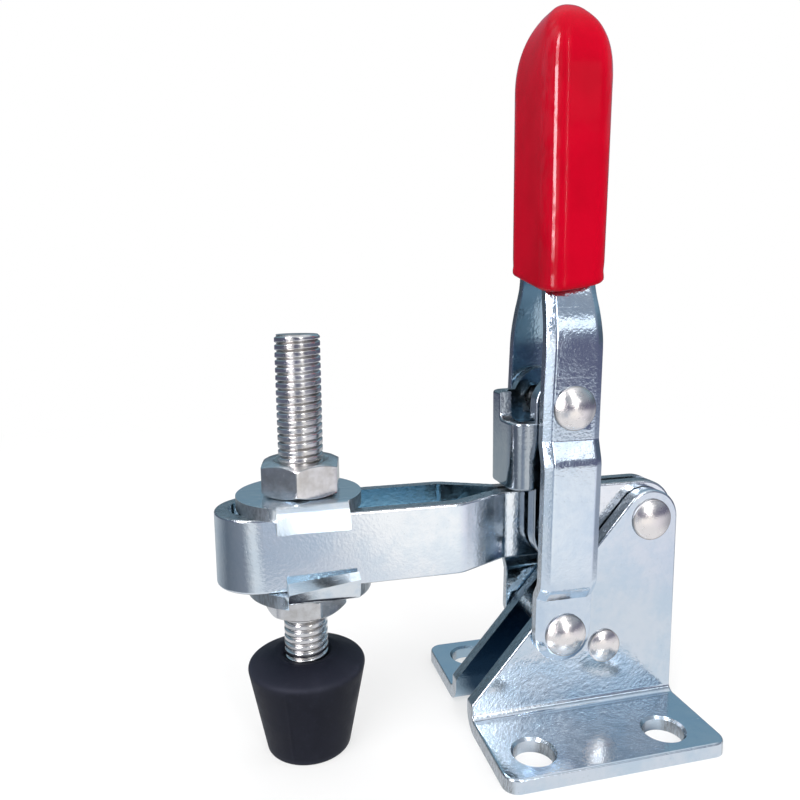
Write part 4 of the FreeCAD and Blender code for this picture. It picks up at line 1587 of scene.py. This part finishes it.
@dataclass
class Studio:
    """Pale floor, soft lamps and the room that the metal mirrors.

    A ramp's stop is an azimuth, as a share of a turn from the rear, and its red, green and blue.

    Attributes:
        aim: middle of the object.
        floor_size: side of the floor in metres.
        table_reach: distances between which metal sees the table end.
        lamps: the soft lamps.
        skyline: ramp of the far horizon.
        around: ramp of the nearer table.
        gleam: ramp of the share of a tall bright panel at the left.
        gleam_light: light of that panel, which the grip's corners mirror.
        centre_light: what metal sees of the table close by.
        centre_reach: distances between which that light ends.
        under_shadow_tone: painted shadow that metal sees on the table under the base.
        under_reach: distances between which that painted shadow ends.
        under_x: middle of that spot along the arm.
        paper_tones: darkest and palest grey of the floor.
        horizon_up: heights between which the horizon ends, as a share of straight up.
        ceiling_up: heights between which the ceiling begins.
        gleam_up: heights between which the panel begins, and ends.
        rear_low: the room's rear near the horizon.
        rear_up: the room's rear higher up.
        front_up: the room's front higher up.
        ceiling: the room's ceiling.
    """

    aim: Vector = field(default_factory=lambda: Vector((-0.010, 0.0, 0.045)))
    floor_size: float = 6.0
    table_reach: tuple[float, float] = (0.16, 0.42)
    lamps: tuple[SoftBox, ...] = (
        SoftBox("key_box", -42.0, 52.0, 0.9, 0.5, 0.5, 4.6),
        SoftBox("strip_box", 11.5, 36.0, 0.8, 0.27, 0.85, 0.75, True),
        SoftBox("line_box", 12.5, 26.0, 0.79, 0.03, 0.6, 1.3, True),
        SoftBox("low_box", 29.0, 20.5, 0.8, 0.18, 0.13, 0.085, True),
        SoftBox("fill_box", 66.0, 30.0, 0.9, 0.35, 0.5, 1.6),
        SoftBox("rear_box", 168.0, 55.0, 0.9, 0.5, 0.3, 1.5),
    )
    skyline: tuple[tuple[float, ...], ...] = (
        (0.0, 0.12, 0.125, 0.2), (0.34, 0.12, 0.125, 0.2), (0.365, 1.15, 1.16, 1.2),
        (0.41, 1.15, 1.16, 1.2), (0.44, 0.12, 0.125, 0.2), (0.523, 0.14, 0.145, 0.22),
        (0.532, 1.2, 1.2, 1.2), (0.556, 1.2, 1.2, 1.2), (0.564, 0.14, 0.145, 0.22),
        (1.0, 0.12, 0.125, 0.2),
    )
    around: tuple[tuple[float, ...], ...] = (
        (0.0, 0.5, 0.54, 0.55), (0.14, 0.42, 0.47, 0.52), (0.24, 0.13, 0.16, 0.2),
        (0.34, 0.22, 0.25, 0.3), (0.385, 0.72, 0.76, 0.8), (0.41, 0.72, 0.76, 0.8),
        (0.43, 0.42, 0.46, 0.54), (0.465, 0.46, 0.52, 0.62), (0.503, 1.0, 1.0, 1.0),
        (0.56, 1.0, 1.0, 1.0), (0.64, 0.8, 0.8, 0.88), (0.74, 0.34, 0.36, 0.42),
        (0.86, 0.6, 0.62, 0.66), (1.0, 0.5, 0.54, 0.55),
    )
    gleam: tuple[tuple[float, ...], ...] = (
        (0.0, 0.0, 0.0, 0.0), (0.333, 0.0, 0.0, 0.0), (0.337, 1.0, 1.0, 1.0),
        (0.378, 1.0, 1.0, 1.0), (0.382, 0.0, 0.0, 0.0), (1.0, 0.0, 0.0, 0.0),
    )
    gleam_light: Colour = (14.0, 13.5, 14.0, 1.0)
    centre_light: Colour = (0.8, 0.82, 0.86, 1.0)
    centre_reach: tuple[float, float] = (0.05, 0.09)
    # Painted shadow under the base, which only the metal's reflections see
    under_shadow_tone: Colour = (0.05, 0.08, 0.12, 1.0)
    under_reach: tuple[float, float] = (0.012, 0.017)
    under_x: float = 0.001
    paper_tones: tuple[float, float] = (0.78, 0.82)
    horizon_up: tuple[float, float] = (0.08, 0.36)
    ceiling_up: tuple[float, float] = (0.66, 0.92)
    gleam_up: tuple[float, ...] = (0.03, 0.06, 0.78, 0.9)
    rear_low: Colour = (0.09, 0.12, 0.15, 1.0)
    rear_up: Colour = (0.22, 0.34, 0.43, 1.0)
    front_up: Colour = (0.3, 0.34, 0.4, 1.0)
    ceiling: Colour = (0.8, 0.84, 0.9, 1.0)

    def build(self) -> None:
        """Lay the floor, light the room and hang the lamps."""
        self._floor()
        self._room()
        for lamp in self.lamps:
            lamp.hang(self.aim)
        LOG.info("studio with %d lamps", len(self.lamps))

    @staticmethod
    def _round_ramp(graph: Graph, stops: Sequence[tuple[float, ...]], x: Level, y: Level) -> Level:
        """Colour of what stands around the object, by azimuth.

        Args:
            graph: tree to add to.
            stops: the ramp's stops.
            x: distance to the right.
            y: distance to the rear.

        Returns:
            The colour.
        """
        share = x.maths("ARCTAN2", x, -y) / (2 * math.pi) + 0.5
        return graph.add("ShaderNodeValToRGB", {0: share}, stops=stops).out(0)

    def _floor(self) -> None:
        """Lay a white floor that still takes the object's shadow."""
        half = self.floor_size / 2
        data = bpy.data.meshes.new("pale_floor")
        corners = [(-half, -half), (half, -half), (half, half), (-half, half)]
        data.from_pydata([(x, y, -0.00002) for x, y in corners], [], [(0, 1, 2, 3)])
        floor = show("pale_floor", data)
        skin = Skin("pale_paper")
        path = skin.add("ShaderNodeLightPath")
        offset = skin.vector("SUBTRACT", skin.place, (self.aim.x, self.aim.y, 0.0))
        away = skin.vector("LENGTH", offset).out("Value")
        x, y, _ = skin.axes(offset)
        near, far = (self._round_ramp(skin, stops, x, y) for stops in (self.around, self.skyline))
        mirrored = skin.blend(away.spread(*self.table_reach), near, far)
        mirrored = skin.blend(away.spread(*self.centre_reach), self.centre_light, mirrored)
        # Painted shadow: the table that metal mirrors goes dark under the base
        under = skin.vector("SUBTRACT", skin.place, (self.under_x, 0.0, 0.0))
        under_shadow_share = skin.vector("LENGTH", under).out("Value").spread(*self.under_reach)
        mirrored = skin.blend(under_shadow_share, self.under_shadow_tone, mirrored)
        dark, pale = ((tone, tone, tone, 1.0) for tone in self.paper_tones)
        tone = skin.blend(skin.noise(0.05, 3.0), dark, pale)
        paper = skin.add("ShaderNodeBsdfDiffuse", {"Color": tone})
        white = skin.add("ShaderNodeEmission", {"Color": (1, 1, 1, 1), "Strength": 1.0})
        table = skin.add("ShaderNodeEmission", {"Color": mirrored, "Strength": 1.0})
        share = 0.6 + 0.4 * away.spread(0.1, 0.3)
        seen = skin.either(path.out("Is Camera Ray") * share, paper, white)
        both = skin.either(path.out("Is Glossy Ray"), seen, table)
        skin.add("ShaderNodeOutputMaterial", {"Surface": both})
        data.materials.append(skin.material)

    def _room(self) -> None:
        """Light the room: white where the camera looks, graded where metal mirrors it."""
        world = bpy.data.worlds.new("studio_room")
        bpy.context.scene.world = world
        world.use_nodes = True
        room = Graph(world.node_tree)
        room.tree.nodes.clear()
        x, y, z = room.axes(room.add("ShaderNodeTexCoord").out("Generated"))
        front = (-y).spread(-0.2, 0.5)
        horizon = room.blend(front, self.rear_low, self._round_ramp(room, self.skyline, x, y))
        upper = room.blend(front, self.rear_up, self.front_up)
        sky = room.blend(z.spread(*self.horizon_up), horizon, upper)
        sky = room.blend(z.spread(*self.ceiling_up), sky, self.ceiling)
        tall = z.spread(*self.gleam_up[:2]) * z.spread(*self.gleam_up[2:], 1.0, 0.0)
        sky = room.blend(self._round_ramp(room, self.gleam, x, y) * tall, sky, self.gleam_light)
        soft, graded, plain = (
            room.add("ShaderNodeBackground", {"Color": colour, "Strength": strength})
            for colour, strength in (((1, 1, 1, 1), 0.75), (sky, 1.0), ((1, 1, 1, 1), 1.0))
        )
        path = room.add("ShaderNodeLightPath")
        lit = room.either(path.out("Is Glossy Ray"), soft, graded)
        mixed = room.either(path.out("Is Camera Ray"), lit, plain)
        room.add("ShaderNodeOutputWorld", {"Surface": mixed})


@dataclass(frozen=True)
class PhotoCamera:
    """Camera fitted to the photograph's frame.

    Attributes:
        place: where it stands, in metres.
        azimuth: degrees around from the front, to the right, that it stands off its aim.
        elevation: degrees that it looks down.
        roll: turn of the picture in degrees.
        lens: focal length in millimetres.
        sensor: width of the sensor in millimetres.
        shift_x: sideways shift of the picture, in picture widths.
        shift_y: upward shift of the picture, in picture widths.
    """

    place: tuple[float, float, float] = (-0.046604, -0.091592, 0.062011)
    azimuth: float = -13.7
    elevation: float = 7.98
    roll: float = -0.62
    lens: float = 31.10
    sensor: float = 36.0
    shift_x: float = -0.0017
    shift_y: float = -0.0044

    def build(self) -> None:
        """Put the camera in the scene."""
        side, turn = math.radians(self.azimuth), math.radians(self.roll)
        back = outward(self.azimuth, self.elevation)
        level = Vector((math.cos(side), math.sin(side), 0))
        over = back.cross(level)
        right = level * math.cos(turn) + over * math.sin(turn)
        top = over * math.cos(turn) - level * math.sin(turn)
        data = bpy.data.cameras.new("photo_camera")
        data.sensor_width, data.lens, data.clip_start = self.sensor, self.lens, 0.005
        data.shift_x, data.shift_y = self.shift_x, self.shift_y
        camera = show("photo_camera", data)
        axes = Matrix((right, top, back)).transposed().to_4x4()
        camera.matrix_world = Matrix.Translation(self.place) @ axes
        bpy.context.scene.camera = camera
        LOG.info("camera at %s", self.place)


def main() -> None:
    """Build the clamp's looks and its studio."""
    logging.basicConfig(level=logging.INFO, format="%(name)s: %(message)s")
    FRAME.update(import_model())
    bpy.context.scene.view_settings.view_transform = "Standard"
    forge = RivetForge()
    parts = (
        Mounting(forge), ClampArm(forge), ToggleLink(), HandleLever(forge, StrapPress()),
        SpindleSet(WasherPress()),
    )
    for part in parts:
        part.build()
        LOG.info("built %s", type(part).__name__)
    Studio().build()
    PhotoCamera().build()


if __name__ == "__main__":
    main()
